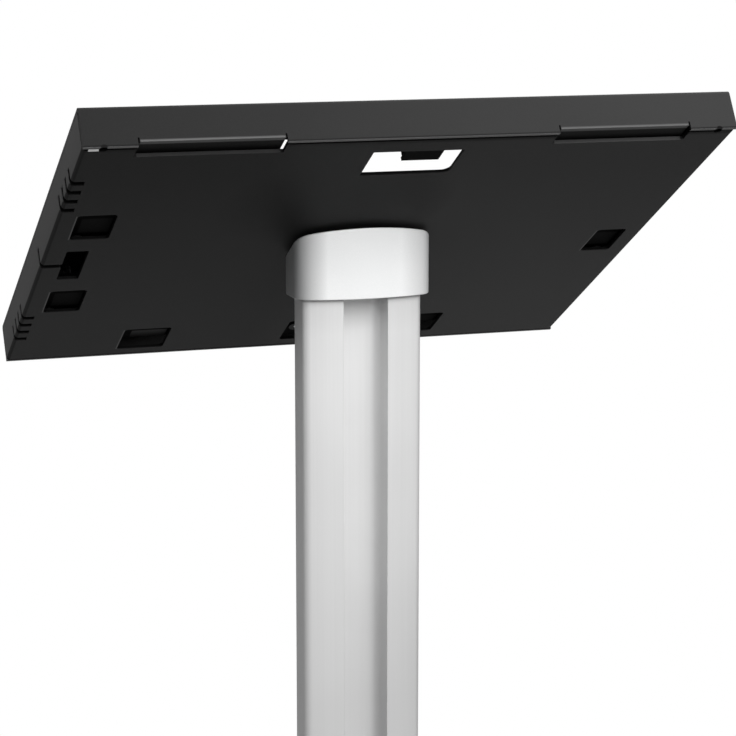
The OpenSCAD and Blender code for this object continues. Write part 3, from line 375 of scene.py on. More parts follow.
# Tones of the column and mast, and the heights in mm of their painted shade: darker downwards, then under
# the collar, with a painted shadow line at the collar's lower edge
mastTones = {
    "dark": "#d4d4d4", "light": "#e4e4e4", "metallic": 0.3,
    "below": "#b6b6b6", "belowFrom": 1020, "belowReach": 160, "belowStrength": 0.5,
    "shade": "#4a4a4a", "shadeFrom": 1036, "shadeReach": 16, "shadeStrength": 0.12,
    "line": "#4b4b4b", "lineFrom": 1051.5, "lineTo": 1055.5, "lineFades": (1.8, 0.5),
}


# Drawn aluminium: die lines along the length under a satin skin, with painted shade low down and under the
# collar
def mastFinish():
    f = Finish("satinMast")
    t = mastTones
    lines = f.noise(900, 3, 0.6, f.spot((1, 1, 0.006)))
    broad = f.noise(160, 2, 0.5, f.spot((1, 1, 0.02)))
    cloud = f.clouds(9)
    height = f.along("Z")
    shade = f.blend((lines * 0.3 + broad * 0.2 + cloud * 0.5).ramped(0.2, 0.8), t["dark"], t["light"])
    # Painted shade darker downwards and under the collar, and a painted shadow line at the collar's lower
    # edge
    below = (t["belowFrom"] - height).ramped(0, t["belowReach"]) * t["belowStrength"]
    underCollar = (height - t["shadeFrom"]).ramped(0, t["shadeReach"]) * t["shadeStrength"]
    shade = f.blend(underCollar, f.blend(below, shade, t["below"]), t["shade"])
    shade = f.blend(height.between(t["lineFrom"], t["lineTo"], *t["lineFades"]), shade, t["line"])
    return f.close({"Base Color": shade, "Metallic": t["metallic"], "Roughness": 0.35 + lines * 0.1,
                    "Specular IOR Level": 0.5, "Normal": f.bump(lines * 0.7 + broad * 0.3, 0.012)})


# Moulded plastic: an even grain that breaks the gloss
def moulded(name, dark, light, grain, depth, rough):
    f = Finish(name)
    fine, cloud = f.noise(grain), f.clouds(16)
    shade = f.blend((fine * 0.5 + cloud * 0.5).ramped(0.3, 0.7), dark, light)
    return f.close({"Base Color": shade, "Roughness": rough - 0.04 + fine * 0.08 + cloud * 0.03,
                    "Normal": f.bump(fine, depth)})


# Bare or plated metal, with the tool's lines in one direction where it is stretched
def metal(name, dark, light, rough, scale, depth, stretch=(1, 1, 1)):
    f = Finish(name)
    lines = f.noise(scale, 3, 0.6, f.spot(stretch))
    stain = f.noise(38, 3).ramped(0.35, 0.75)
    shade = f.blend((lines * 0.5 + stain * 0.5).ramped(0.25, 0.75), dark, light)
    return f.close({"Base Color": shade, "Metallic": 1.0, "Normal": f.bump(lines, depth),
                    "Roughness": rough - 0.06 + lines * 0.1 + stain * 0.06})


# The collar's tones, and where its sides turn darker with painted shade, in mm from its middle
collarTones = {"dark": "#f2f3f3", "light": "#fafafa",
               "left": "#5a5b5c", "leftFrom": 19, "leftReach": 13, "leftStrength": 0.82,
               "right": "#8c8d8e", "rightFrom": 16, "rightReach": 15, "rightStrength": 0.55}


# The collar: polished plastic with painted shade that darkens it towards its sides
def collarFinish():
    f = Finish("collarPlastic")
    t = collarTones
    fine, cloud, across = f.noise(1600), f.clouds(16), f.along("X")
    shade = f.blend((fine * 0.5 + cloud * 0.5).ramped(0.3, 0.7), t["dark"], t["light"])
    # Painted shade on both sides
    left = (-t["leftFrom"] - across).ramped(0, t["leftReach"]) * t["leftStrength"]
    right = (across - t["rightFrom"]).ramped(0, t["rightReach"]) * t["rightStrength"]
    shade = f.blend(right, f.blend(left, shade, t["left"]), t["right"])
    return f.close({"Base Color": shade, "Roughness": 0.28 + fine * 0.06 + cloud * 0.03,
                    "Coat Weight": 0.25, "Coat Roughness": 0.12, "Normal": f.bump(fine, 0.012)})


footSizes = {"across": 164, "height": 4, "steps": 64}


# Foot rubber, with dust that gathers low down
def rubberFinish():
    f = Finish("footRubber")
    fine = f.noise(1500, 3)
    dust = f.noise(60, 3).ramped(0.45, 0.8) * (1 - f.along("Z").ramped(0, footSizes["height"]))
    shade = f.blend((fine * 0.6 + dust * 0.5).kept(), "#121212", "#2c2b2a")
    return f.close({"Base Color": shade, "Roughness": 0.78 + fine * 0.12, "Normal": f.bump(fine, 0.06)})


# Closed foam, with painted shade: black where the window gasket shows through the cable window
def foamFinish():
    f = Finish("closedFoam")
    cell = f.cells(1500)
    shade = f.blend(f.zone("gasketStrip"), f.blend(cell.ramped(0, 0.8), "#1a1a1b", "#3a3a3b"), "#030303")
    return f.close({"Base Color": shade, "Roughness": 0.88 + cell * 0.08, "Specular IOR Level": 0.1,
                    "Normal": f.bump(cell, 0.25)})


headSizes = {"machinedFrom": 1058, "machinedTo": 1060}  # heights in mm


# The cast head, smoother where its top is machined
def castFinish():
    f = Finish("castAluminium")
    pits, grit = f.cells(900), f.noise(1400, 3)
    machined = f.along("Z").ramped(headSizes["machinedFrom"], headSizes["machinedTo"])
    shade = f.blend((grit * 0.7 + machined * 0.3).kept(), "#8f9193", "#c4c6c8")
    return f.close({"Base Color": shade, "Metallic": 0.9, "Roughness": 0.52 - machined * 0.16 + grit * 0.1,
                    "Normal": f.bump(pits * 0.5 + grit * 0.5, 0.12)})


finishes = {
    "black_sheet": sheetFinish(),
    "black_bracket": bracketFinish(),
    "black_oxide": metal("blackOxide", "#080808", "#111111", rough=0.55, scale=700, depth=0.01),
    "black_powder": coat("baseCoat", "#1a1b1c", "#2a2b2d", peel=620, depth=0.09, rough=0.55, specular=0.4),
    "black_cast": coat("housingCoat", "#1c1d1e", "#2b2c2d", peel=700, depth=0.08, rough=0.5, specular=0.4),
    "satin_aluminium": mastFinish(),
    "white_plastic": collarFinish(),
    "black_nylon": moulded("blackNylon", "#161718", "#232425", grain=1300, depth=0.05, rough=0.5),
    "natural_nylon": moulded("washerNylon", "#cfc9b6", "#ded9c9", grain=1300, depth=0.03, rough=0.45),
    "black_rubber": rubberFinish(),
    "black_foam": foamFinish(),
    "zinc_steel": metal("zincPlate", "#8e9296", "#c2c5c6", rough=0.3, scale=700, depth=0.01),
    "spring_steel": metal("springSteel", "#4c4f54", "#7d7f82", rough=0.34, scale=500, depth=0.01,
                          stretch=(1, 1, 8)),
    "bare_steel": metal("plateSteel", "#5e6163", "#84878a", rough=0.4, scale=1600, depth=0.01,
                        stretch=(1, 0.02, 0.02)),
    "chrome": metal("lockChrome", "#a9acae", "#cfd1d2", rough=0.14, scale=900, depth=0.004),
    "brass": metal("padBrass", "#a07c3c", "#c29b55", rough=0.36, scale=600, depth=0.01, stretch=(8, 1, 1)),
    "cast_aluminium": castFinish(),
}
report("finishes made")


# Smooth faces, with the hard edges kept hard
def shaded(mesh, angle=hardAngle):
    bm = bmesh.new()
    bm.from_mesh(mesh)
    for face in bm.faces:
        face.smooth = True
    for edge in bm.edges:
        edge.smooth = len(edge.link_faces) == 2 and edge.calc_face_angle(0) < math.radians(angle)
    bm.to_mesh(mesh)
    bm.free()


# A new object, linked to the scene
def inScene(name, data):
    thing = bpy.data.objects.new(name, data)
    bpy.context.scene.collection.objects.link(thing)
    return thing


# A mesh as a finished piece in place of a node
def placed(name, mesh, node, finish=None):
    mesh.materials.clear()
    mesh.materials.append(finish or finishes[slotOf[node]])
    piece = inScene(name, mesh)
    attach(piece, bodyOf[node])
    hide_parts(node)
    return piece


def softened(piece, width):
    edge = piece.modifiers.new("softEdges", "BEVEL")
    edge.width = width
    edge.segments = 2
    edge.limit_method = "ANGLE"
    edge.angle_limit = math.radians(hardAngle)
    edge.harden_normals = True
    return piece


# A copy of a solid's mesh, merged, with flat faces made whole and its edges broken
def finished(node, width):
    bm = bmesh.new()
    bm.from_mesh(nodes[node].data)
    bmesh.ops.remove_doubles(bm, verts=bm.verts, dist=weld)
    bmesh.ops.dissolve_limit(bm, angle_limit=math.radians(0.4), use_dissolve_boundaries=False,
                             verts=bm.verts, edges=bm.edges)
    mesh = bpy.data.meshes.new(node + "Finished")
    bm.to_mesh(mesh)
    bm.free()
    shaded(mesh)
    words = node.split("_")
    name = words[0] + "".join(w.capitalize() for w in words[1:])
    return softened(placed(name, mesh, node), width)


# A closed skin through rings of equal count, capped at both ends or joined round
def lofted(name, rings, joined=False):
    bm = bmesh.new()
    rows = [[bm.verts.new(p) for p in ring] for ring in rings]
    for low, high in list(zip(rows, rows[1:])) + ([(rows[-1], rows[0])] if joined else []):
        for k in range(len(low)):
            after = (k + 1) % len(low)
            bm.faces.new((low[k], low[after], high[after], high[k]))
    if not joined:
        bm.faces.new(rows[0])
        bm.faces.new(rows[-1])
    bmesh.ops.recalc_face_normals(bm, faces=bm.faces)
    mesh = bpy.data.meshes.new(name)
    bm.to_mesh(mesh)
    bm.free()
    shaded(mesh)
    return mesh


# A place given in mm, in metres
def at(x, y, z):
    return (x * mm, y * mm, z * mm)


# How far in and how far on a quarter round lies at each of its turns, in degrees
def rounded(radius, turns):
    angles = [math.radians(turn) for turn in turns]
    return [(radius * (1 - math.sin(a)), radius * (1 - math.cos(a))) for a in angles]


# A ring of a turned piece: round, or with flats where sides are given, cut round at a limit
def ring(reach, height, flats=0, limit=1.0, steps=48):
    points = []
    for k in range(steps):
        angle = 2 * math.pi * k / steps
        far = reach
        if flats:
            step = 2 * math.pi / flats
            far = min(reach / math.cos(angle % step - step / 2), limit)
        points.append((far * math.cos(angle), far * math.sin(angle), height))
    return points


def turned(name, rows, steps=48):
    return lofted(name, [[at(*point) for point in ring(*row, steps=steps)] for row in rows])


# Trees of geometry nodes, built like the finishes
class Growth:
    def __init__(self, name, inputs):
        self.tree = bpy.data.node_groups.new(name, "GeometryNodeTree")
        self.tree.interface.new_socket("Geometry", in_out="INPUT", socket_type="NodeSocketGeometry")
        for label, kind in inputs.items():
            self.tree.interface.new_socket(label, in_out="INPUT", socket_type="NodeSocket" + kind)
        self.tree.interface.new_socket("Geometry", in_out="OUTPUT", socket_type="NodeSocketGeometry")
        self.given = self.tree.nodes.new("NodeGroupInput")
        self.result = self.tree.nodes.new("NodeGroupOutput")

    def value(self, label):
        return self.given.outputs[label]

    def add(self, kind, settings, sockets, out=0):
        node = self.tree.nodes.new(kind)
        for key, value in settings.items():
            setattr(node, key, value)
        for key, value in sockets.items():
            for source in value if isinstance(value, list) else [value]:
                if isinstance(source, bpy.types.NodeSocket):
                    self.tree.links.new(source, node.inputs[key])
                else:
                    node.inputs[key].default_value = source
        return node.outputs[out]

    def close(self, geometry):
        real = self.add("GeometryNodeRealizeInstances", {}, {"Geometry": geometry})
        done = self.add("GeometryNodeSetMaterial", {}, {"Geometry": real, "Material": self.value("Finish")})
        self.tree.links.new(done, self.result.inputs["Geometry"])
        return self.tree


# The mesh that a tree makes with these values, starting from a base
def grown(tree, values, base=None):
    carrier = inScene("carrier", base or bpy.data.meshes.new("carrier"))
    growing = carrier.modifiers.new("growing", "NODES")
    growing.node_group = tree
    for item in tree.interface.items_tree:
        if item.in_out == "INPUT" and item.name in values:
            growing[item.identifier] = values[item.name]
    mesh = bpy.data.meshes.new_from_object(carrier.evaluated_get(bpy.context.evaluated_depsgraph_get()))
    bpy.data.objects.remove(carrier)
    return mesh


# Copies of one part at points that say which way they aim
def patternTree():
    g = Growth("fixingPattern", {"Part": "Object", "Size": "Float", "Finish": "Material"})
    part = g.add("GeometryNodeObjectInfo", {}, {"Object": g.value("Part")}, "Geometry")
    aim = g.add("GeometryNodeInputNamedAttribute", {"data_type": "FLOAT_VECTOR"}, {"Name": "aim"})
    turn = g.add("FunctionNodeAlignRotationToVector", {"axis": "Z"}, {"Vector": aim})
    copies = g.add("GeometryNodeInstanceOnPoints", {}, {"Points": g.value("Geometry"), "Instance": part,
                                                        "Rotation": turn, "Scale": g.value("Size")})
    return g.close(copies)


# A section drawn as closed outlines, filled and pulled to its length
def extrusionTree():
    g = Growth("extrusion", {"Section": "Object", "Foot": "Vector", "Length": "Float",
                             "Finish": "Material"})
    section = g.add("GeometryNodeObjectInfo", {}, {"Object": g.value("Section")}, "Geometry")
    face = g.add("GeometryNodeFillCurve", {}, {"Curve": section})
    pulled = g.add("GeometryNodeExtrudeMesh", {}, {"Mesh": face, "Offset": (0.0, 0.0, 1.0),
                                                   "Offset Scale": g.value("Length"), "Individual": False})
    lower = g.add("GeometryNodeFlipFaces", {}, {"Mesh": face})
    both = g.add("GeometryNodeJoinGeometry", {}, {"Geometry": [pulled, lower]})
    whole = g.add("GeometryNodeMergeByDistance", {}, {"Geometry": both, "Distance": weld})
    raised = g.add("GeometryNodeTransform", {}, {"Geometry": whole, "Translation": g.value("Foot")})
    return g.close(raised)


fixingPattern = patternTree()
extrusion = extrusionTree()


# Copies of a part as one piece, at spots that are each a place and a direction
def patterned(name, node, part, spots, finish=None):
    template = inScene("template", part)
    points = bpy.data.meshes.new("points")
    points.from_pydata([place for place, aim in spots], [], [])
    aims = points.attributes.new("aim", "FLOAT_VECTOR", "POINT")
    for k, (place, aim) in enumerate(spots):
        aims.data[k].vector = aim
    mesh = grown(fixingPattern, {"Part": template, "Size": 1.0, "Finish": finishes[slotOf[node]]}, points)
    bpy.data.objects.remove(template)
    shaded(mesh)
    return placed(name, mesh, node, finish)


# The closed outlines of a solid's lower end
def endOutlines(node):
    bm = bmesh.new()
    bm.from_mesh(nodes[node].data)
    bmesh.ops.remove_doubles(bm, verts=bm.verts, dist=weld)
    level = min(v.co.z for v in bm.verts) + 0.01 * mm
    floorFaces = {f for f in bm.faces if all(v.co.z < level for v in f.verts)}
    rim = {e for e in bm.edges if sum(f in floorFaces for f in e.link_faces) == 1}
    loops = []
    while rim:
        edge = rim.pop()
        start, spot = edge.verts
        loop = [start.co.copy()]
        while spot is not start:
            loop.append(spot.co.copy())
            edge = next(e for e in spot.link_edges if e in rim)
            rim.discard(edge)
            spot = edge.other_vert(spot)
        loops.append(loop)
    bm.free()
    return loops


# A straight piece pulled from its lower end to its full height
def extruded(name, node, width):
    section = bpy.data.curves.new("section", "CURVE")
    section.dimensions = "3D"
    for loop in endOutlines(node):
        line = section.splines.new("POLY")
        line.points.add(len(loop) - 1)
        line.use_cyclic_u = True
        for point, spot in zip(line.points, loop):
            point.co = (*spot, 1)
    drawing = inScene("drawing", section)
    low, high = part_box(node)
    mesh = grown(extrusion, {"Section": drawing, "Foot": (0.0, 0.0, low.z), "Length": high.z - low.z,
                             "Finish": finishes[slotOf[node]]})
    bpy.data.objects.remove(drawing)
    shaded(mesh)
    return softened(placed(name, mesh, node), width)


# How far each solid's edges are broken, in mm
edgeBreaks = {
    "rear_tray": 0.25, "front_cover": 0.25, "swivel_plate": 0.3, "top_bracket": 0.25,
    "left_upper_bracket": 0.25, "left_lower_bracket": 0.25, "right_bracket": 0.25,
    "bottom_left_bracket": 0.25, "bottom_right_bracket": 0.25, "support_pads": 0.5, "edge_pads": 0.3,
    "lock_plate": 0.3, "lock_barrel": 0.2, "lock_nut": 0.3, "lock_plug": 0.15, "lock_cam": 0.25,
    "cam_screw": 0.2, "window_gasket": 0.3, "clamp_housing": 0.5, "lower_column": 0.3,
    "guide_bush": 0.4, "column_foot": 0.6, "cable_grommet": 0.5, "brake_pad": 0.3, "clamp_screw": 0.3,
    "glide_shoe": 0.5, "head_block": 0.3, "friction_washer": 0.2, "pivot_bolt": 0.3,
    "disc_springs": 0.1, "pivot_nut": 0.4, "stop_pin": 0.2,
}
for node, width in edgeBreaks.items():
    finished(node, width * mm)
report("solids finished")

mastSizes = {"width": 57.3, "depth": 27, "edge": 0.35,
             "faceRadius": 90, "faceSteps": 40, "cornerRadius": 4.5, "cornerSteps": 10}
extruded("mastExtrusion", "mast", mastSizes["edge"] * mm)
report("mast pulled")


# The mast's outline widened by a gap, as arcs: centre across and forward, radius, start and end
def outline(gap):
    s = mastSizes
    small, large = s["cornerRadius"], s["faceRadius"]
    across, centre = s["width"] / 2 - small, large - s["depth"] / 2
    forward = math.sqrt((large - small) ** 2 - across ** 2) - centre
    a = math.degrees(math.atan2(forward + centre, across))
    arcs = [(across, forward, small, 0, a), (0, -centre, large, a, 180 - a),
            (-across, forward, small, 180 - a, 180), (-across, -forward, small, 180, 180 + a),
            (0, centre, large, 180 + a, 360 - a), (across, -forward, small, 360 - a, 360)]
    points = []
    for x, y, radius, start, end in arcs:
        steps = s["cornerSteps"] if radius == small else s["faceSteps"]
        for k in range(steps + 1) if radius == small else range(1, steps):  # a face's ends are its corners'
            angle, far = math.radians(start + (end - start) * k / steps), radius + gap
            points.append(((x + far * math.cos(angle)) * mm, (y + far * math.sin(angle)) * mm))
    return points


collarSizes = {"inner": 0.2, "outer": 3.9, "bottom": 1053.4, "gapBelowTray": 1.7,
               "lowerEdge": 0.6, "upperEdge": 1.3, "turns": (0, 18, 36, 54, 72, 90)}


# Height of the collar's slanted top over a point
def slantedTop(y):
    tilt = math.radians(enclosure["tilt"])
    rise = -collarSizes["gapBelowTray"] * mm - (y - enclosure["pivotForward"] * mm) * math.sin(tilt)
    return enclosure["pivotHeight"] * mm + rise / math.cos(tilt)


def collarMesh():
    c = collarSizes
    rows = [[(x, y, c["bottom"] * mm) for x, y in outline(c["inner"])]]
    for inset, lift in rounded(c["lowerEdge"], c["turns"]):
        rows.append([(x, y, (c["bottom"] + lift) * mm) for x, y in outline(c["outer"] - inset)])
    for drop, inset in rounded(c["upperEdge"], c["turns"]):
        rows.append([(x, y, slantedTop(y) - drop * mm) for x, y in outline(c["outer"] - inset)])
    rows.append([(x, y, slantedTop(y)) for x, y in outline(c["inner"])])
    return lofted("collarShell", rows, joined=True)


placed("collarShell", collarMesh(), "collar")

knobSizes = {
    "start": 51.65, "height": 754, "radius": 18, "thick": 15, "steps": 144,
    "lobes": 6, "hollow": 3.0, "sharpness": 1.7, "round": 3.0, "turns": (90, 72, 54, 36, 18, 0),
    "backRound": 1.5, "backTurns": (0, 22, 45, 67, 90), "hubRadius": 9, "hubLength": 4, "hubEdge": 0.6,
    "rimInset": 5, "dishInset": 5.8, "dishDepth": 0.5, "dishRadius": 6,
}


def knobMesh():
    k = knobSizes

    def lobed(inset, height):
        points = []
        for step in range(k["steps"]):
            angle = 2 * math.pi * step / k["steps"]
            wave = (0.5 + 0.5 * math.cos(k["lobes"] * angle)) ** k["sharpness"]
            far = k["radius"] - k["hollow"] * wave - inset
            points.append((far * math.cos(angle), far * math.sin(angle), height))
        return points

    hub = [(k["hubRadius"] - k["hubEdge"], -k["hubLength"]),
           (k["hubRadius"], k["hubEdge"] - k["hubLength"]), (k["hubRadius"], 0)]
    rows = [ring(reach, height, steps=k["steps"]) for reach, height in hub]
    rows += [lobed(inset, rise) for inset, rise in rounded(k["backRound"], k["backTurns"])]
    rows += [lobed(inset, k["thick"] - drop) for inset, drop in rounded(k["round"], k["turns"])]
    rows.append(lobed(k["rimInset"], k["thick"]))
    rows.append(lobed(k["dishInset"], k["thick"] - k["dishDepth"]))
    rows.append(ring(k["dishRadius"], k["thick"] - k["dishDepth"], steps=k["steps"]))
    mesh = lofted("knobMesh", [[at(*point) for point in row] for row in rows])
    place = Matrix.Translation(at(k["start"], 0, k["height"]))
    mesh.transform(place @ Matrix.Rotation(math.pi / 2, 4, "Y"))
    return mesh


placed("knobGrip", knobMesh(), "clamp_knob")

baseSizes = {
    "width": 380, "depth": 380, "bottom": 4, "thick": 8, "corner": 24, "cornerSteps": 16,
    "edge": 1.6, "edgeTurns": (0, 15, 30, 45, 60, 75, 90), "lowerEdge": 0.5, "lowerTurns": (0, 30, 60, 90),
    "anchorSpacing": 240, "anchorRadius": 4.5, "anchorSink": 1.6, "sinkDepth": 0.5,
    "screwAcross": 48, "screwForward": 32, "screwRadius": 3.1, "screwSink": 5.7, "screwSinkDepth": 2.6,
    "drillPast": 1,
}


def plateMesh():
    b = baseSizes
    low, high, past = b["bottom"], b["bottom"] + b["thick"], b["drillPast"]

    def outlineAt(inset, height):
        points = []
        for corner, (sx, sy) in enumerate(quarters):
            for step in range(b["cornerSteps"] + 1):
                angle = math.radians(90 * corner + 90 * step / b["cornerSteps"])
                x = sx * (b["width"] / 2 - b["corner"]) + (b["corner"] - inset) * math.cos(angle)
                y = sy * (b["depth"] / 2 - b["corner"]) + (b["corner"] - inset) * math.sin(angle)
                points.append(at(x, y, height))
        return points

    rows = [outlineAt(inset, low + rise) for inset, rise in rounded(b["lowerEdge"], b["lowerTurns"])]
    rows += [outlineAt(inset, high - drop) for drop, inset in rounded(b["edge"], b["edgeTurns"])]
    plate = inScene("plate", lofted("plate", rows))

    # Floor anchors widen at the top, and the column's screws at the bottom: radius and height of each ring
    anchor = [(b["anchorRadius"], low - past), (b["anchorRadius"], high - b["sinkDepth"]),
              (b["anchorRadius"] + b["anchorSink"], high - b["sinkDepth"] + b["anchorSink"])]
    screw = [(b["screwSink"] + past, low - past), (b["screwSink"], low),
             (b["screwRadius"], low + b["screwSinkDepth"]), (b["screwRadius"], high + past)]
    drills = []
    for sx, sy in quarters:
        for drill, across, forward in ((anchor, b["anchorSpacing"] / 2, b["anchorSpacing"] / 2),
                                       (screw, b["screwAcross"], b["screwForward"])):
            cutter = turned("drill", drill)
            cutter.transform(Matrix.Translation(at(sx * across, sy * forward, 0)))
            drills.append(inScene("drill", cutter))
            hole = plate.modifiers.new("hole", "BOOLEAN")
            hole.object = drills[-1]
            hole.solver = "EXACT"
    mesh = bpy.data.meshes.new_from_object(plate.evaluated_get(bpy.context.evaluated_depsgraph_get()))
    for made in drills + [plate]:
        bpy.data.objects.remove(made)
    shaded(mesh, angle=24)
    return mesh


placed("groundPlate", plateMesh(), "base_plate")
report("collar, knob and base made")

# Fixings. Each row of a profile is a radius and a height in mm, then any flats and their widest radius
upward, downward = (0, 0, 1), (0, 0, -1)

# A foot, with a hollow moulded into its sole
foot = turned("foot", [(9.5, 0.7), (10.2, 0.1), (10.8, 0), (14.3, 0), (15.1, 0.3), (15.8, 1.1), (16, 1.9),
                       (16, footSizes["height"])], footSizes["steps"])
patterned("floorFeet", "rubber_feet", foot,
          [(at(sx * footSizes["across"], sy * footSizes["across"], 0), upward) for sx, sy in quarters])

# Countersunk screws up through the base, seen from below
baseScrew = turned("baseScrew", [(2.0, 2, 6, 9), (2.0, 0, 6, 9), (5.3, 0), (5.6, 0.15), (3, 2.6), (3, 12.6),
                                 (2.6, 13)])
patterned("baseScrews", "base_screws", baseScrew,
          [(at(sx * baseSizes["screwAcross"], sy * baseSizes["screwForward"], baseSizes["bottom"]), upward)
           for sx, sy in quarters])

# Button screws through the column into its foot, with their heads outwards
columnScrewPlaces = {"across": 34.05, "heights": (36, 60)}
buttonScrew = turned("buttonScrew", [(1.5, 0.9, 6, 9), (1.5, 2.2, 6, 9), (2.2, 2.4), (3.2, 2.1), (4.0, 1.3),
                                     (4.35, 0.5), (4.4, 0), (2.5, 0), (2.5, -8.3), (2.1, -8.4)])
patterned("columnScrews", "cross_screws", buttonScrew,
          [(at(side * columnScrewPlaces["across"], 0, height), (side, 0, 0))
           for side in sides for height in columnScrewPlaces["heights"]])

# Cap screws into the mast's two ports, from the head above and from the glide below
portScrews = {
    "headScrews": {"node": "head_screws", "across": 19.2, "height": 1063, "length": 20.5, "aim": upward},
    "glideScrews": {"node": "glide_screws", "across": 19.2, "height": 515.5, "length": 18.5,
                    "aim": downward},
}
for name, row in portScrews.items():
    capScrew = turned(name, [(1.5, 1.0, 6, 9), (1.5, 3.0, 6, 9), (3.9, 3.0), (4.4, 2.5), (4.4, 0), (2.5, 0),
                             (2.5, -row["length"]), (2.1, -row["length"] - 0.5)])
    patterned(name, row["node"], capScrew,
              [(at(side * row["across"], 0, row["height"]), row["aim"]) for side in sides])

# Nuts on the tray's studs, set back from each bracket's lip and apart along it
nutSizes = {"thick": 2.4, "halfFlats": 2.75, "chamfer": 0.2, "endRadius": 3.0, "hole": 1.55, "flats": 6,
            "fullRadius": 9, "seat": 5, "back": 6, "apart": 18, "topBack": 19}
# Each lip's middle and the way it faces, across and down
lips = [((19, 81.15), (1, 0)), ((19, 166.75), (1, 0)), ((272, 121.75), (-1, 0)),
        ((65.7, 202.5), (0, -1)), ((208.3, 202.5), (0, -1))]
topLip = (152.75, 28.5)


def nutMesh():
    s = nutSizes
    ends = [(0, s["endRadius"]), (s["chamfer"], s["fullRadius"]),
            (s["thick"] - s["chamfer"], s["fullRadius"]), (s["thick"], s["endRadius"])]
    flanks = [(s["halfFlats"], height, s["flats"], limit) for height, limit in ends]
    return turned("nut", [(s["hole"], 0)] + flanks + [(s["hole"], s["thick"])])


def nutSpots():
    s, studs = nutSizes, []
    for (across, down), (faceAcross, faceDown) in lips:
        for side in sides:
            studs.append((across - faceAcross * s["back"] - faceDown * side * s["apart"],
                          down - faceDown * s["back"] + faceAcross * side * s["apart"]))
    studs.append((topLip[0], topLip[1] - s["topBack"]))
    offTray = panelFrame.to_3x3() @ Vector((0, 0, 1))
    return [(panelFrame @ Vector(at(across, down, s["seat"])), offTray) for across, down in studs]


dullOxide = coat("dullOxide", "#050505", "#0b0b0b", peel=1300, depth=0.02, rough=0.7, specular=0.02)
patterned("bracketNuts", "bracket_nuts", nutMesh(), nutSpots(), dullOxide)
report("fixings set out")

# The camera stands where the photograph was taken
view = {"place": (-0.3247, -1.0052, 1.2246), "lens": 112.66, "sensor": 36, "nearest": 0.01, "farthest": 60,
        "right": (0.95017, -0.31172, 0.00047), "up": (0.05939, 0.18249, 0.98141),
        "forward": (0.30601, 0.93248, -0.19191)}
camera = inScene("camera", bpy.data.cameras.new("camera"))
turn = Matrix((Vector(view["right"]), Vector(view["up"]), -Vector(view["forward"]))).transposed()
camera.matrix_world = Matrix.Translation(view["place"]) @ turn.to_4x4()
camera.data.lens = view["lens"]
camera.data.sensor_width = view["sensor"]
camera.data.clip_start, camera.data.clip_end = view["nearest"], view["farthest"]
bpy.context.scene.camera = camera

# Soft boxes, in metres and watts
lamps = {
    "keyBox": {"place": (0.2, -2.1, 2.3), "target": (0, 0, 1.0), "size": 1.5, "power": 64},
    "skyBox": {"place": (0.1, 0.3, 3.4), "target": (0, 0, 0.6), "size": 2.4, "power": 46},
    "sideBox": {"place": (-2.4, 0.6, 1.6), "target": (0, 0, 0.9), "size": 1.6, "power": 3},
    "fillBox": {"place": (0.9, 2.3, 1.9), "target": (0, 0, 0.8), "size": 1.6, "power": 11},
}
for name, row in lamps.items():
    lamp = inScene(name, bpy.data.lights.new(name, "AREA"))
    lamp.location = row["place"]
    lamp.rotation_euler = (Vector(row["target"]) - Vector(row["place"])).to_track_quat("-Z", "Y").to_euler()
    lamp.data.shape = "SQUARE"
    lamp.data.size = row["size"]
    lamp.data.energy = row["power"]

# The floor's tones and reach in metres, and how white the floor and the world look
studio = {"floorDark": "#bcbcbc", "floorLight": "#c4c4c4", "halfFloor": 30, "worldShade": 0.2,
          "shadowReach": 0.75, "fadeReach": 0.8, "leastWhite": 0.45,
          "mirrorWhite": 0.5, "aheadFrom": 0.5, "aheadTo": 2.5}


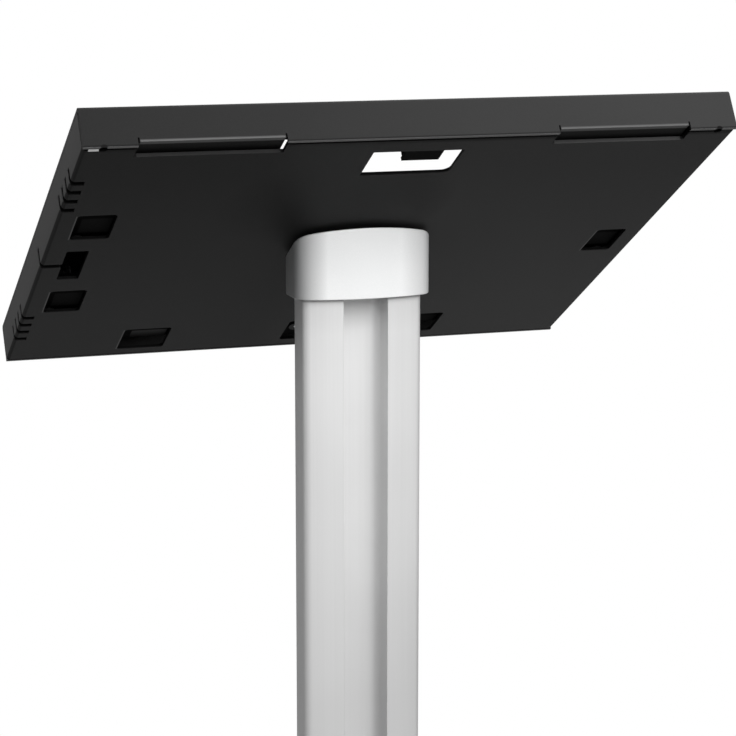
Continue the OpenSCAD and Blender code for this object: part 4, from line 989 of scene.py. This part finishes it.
# How white the floor is: towards the camera away from the stand, and far ahead in reflections
def whiteness(f):
    camera, through, mirror = [f.add("ShaderNodeLightPath", {}, {}, out) for out in
                               ("Is Camera Ray", "Is Transmission Ray", "Is Glossy Ray")]
    reach = f.add("ShaderNodeVectorMath", {"operation": "LENGTH"}, {0: f.spot()}, "Value")
    away = reach.ramped(studio["shadowReach"], studio["shadowReach"] + studio["fadeReach"])
    ahead = (0 - f.along("Y") * mm).ramped(studio["aheadFrom"], studio["aheadTo"])
    direct = (camera + through) * (studio["leastWhite"] + away * (1 - studio["leastWhite"]))
    return (direct + mirror * ahead * studio["mirrorWhite"]).kept()


def floorFinish():
    f = Finish("paleFloor")
    shade = f.blend(f.clouds(7, 3), studio["floorDark"], studio["floorLight"])
    base = f.add("ShaderNodeBsdfDiffuse", {}, {"Color": shade})
    white = f.add("ShaderNodeEmission", {}, {"Color": (1, 1, 1, 1), "Strength": 1.0})
    mixed = f.add("ShaderNodeMixShader", {}, {"Fac": whiteness(f), 1: base, 2: white})
    f.add("ShaderNodeOutputMaterial", {}, {"Surface": mixed})
    return f.material


floorMesh = bpy.data.meshes.new("floor")
half = studio["halfFloor"]
floorMesh.from_pydata([(sx * half, sy * half, 0) for sx, sy in quarters], [], [(0, 1, 2, 3)])
floorMesh.materials.append(floorFinish())
floor = inScene("floor", floorMesh)

# A dim world that looks white to the camera, in reflections and through clear pieces
world = bpy.data.worlds.new("studio")
bpy.context.scene.world = world
world.use_nodes = True
sky = world.node_tree
path = sky.nodes.new("ShaderNodeLightPath")
plain = next(part for part in sky.nodes if part.type == "BACKGROUND")
plain.inputs["Color"].default_value = (1, 1, 1, 1)
total = path.outputs["Is Camera Ray"]
for out in ("Is Glossy Ray", "Is Transmission Ray"):
    joined = sky.nodes.new("ShaderNodeMath")
    sky.links.new(total, joined.inputs[0])
    sky.links.new(path.outputs[out], joined.inputs[1])
    joined.use_clamp = True
    total = joined.outputs[0]
strength = sky.nodes.new("ShaderNodeMapRange")
sky.links.new(total, strength.inputs["Value"])
strength.inputs["To Min"].default_value = studio["worldShade"]
strength.inputs["To Max"].default_value = 1.0
sky.links.new(strength.outputs[0], plain.inputs["Strength"])
bpy.context.scene.view_settings.view_transform = "Standard"
report("studio set")
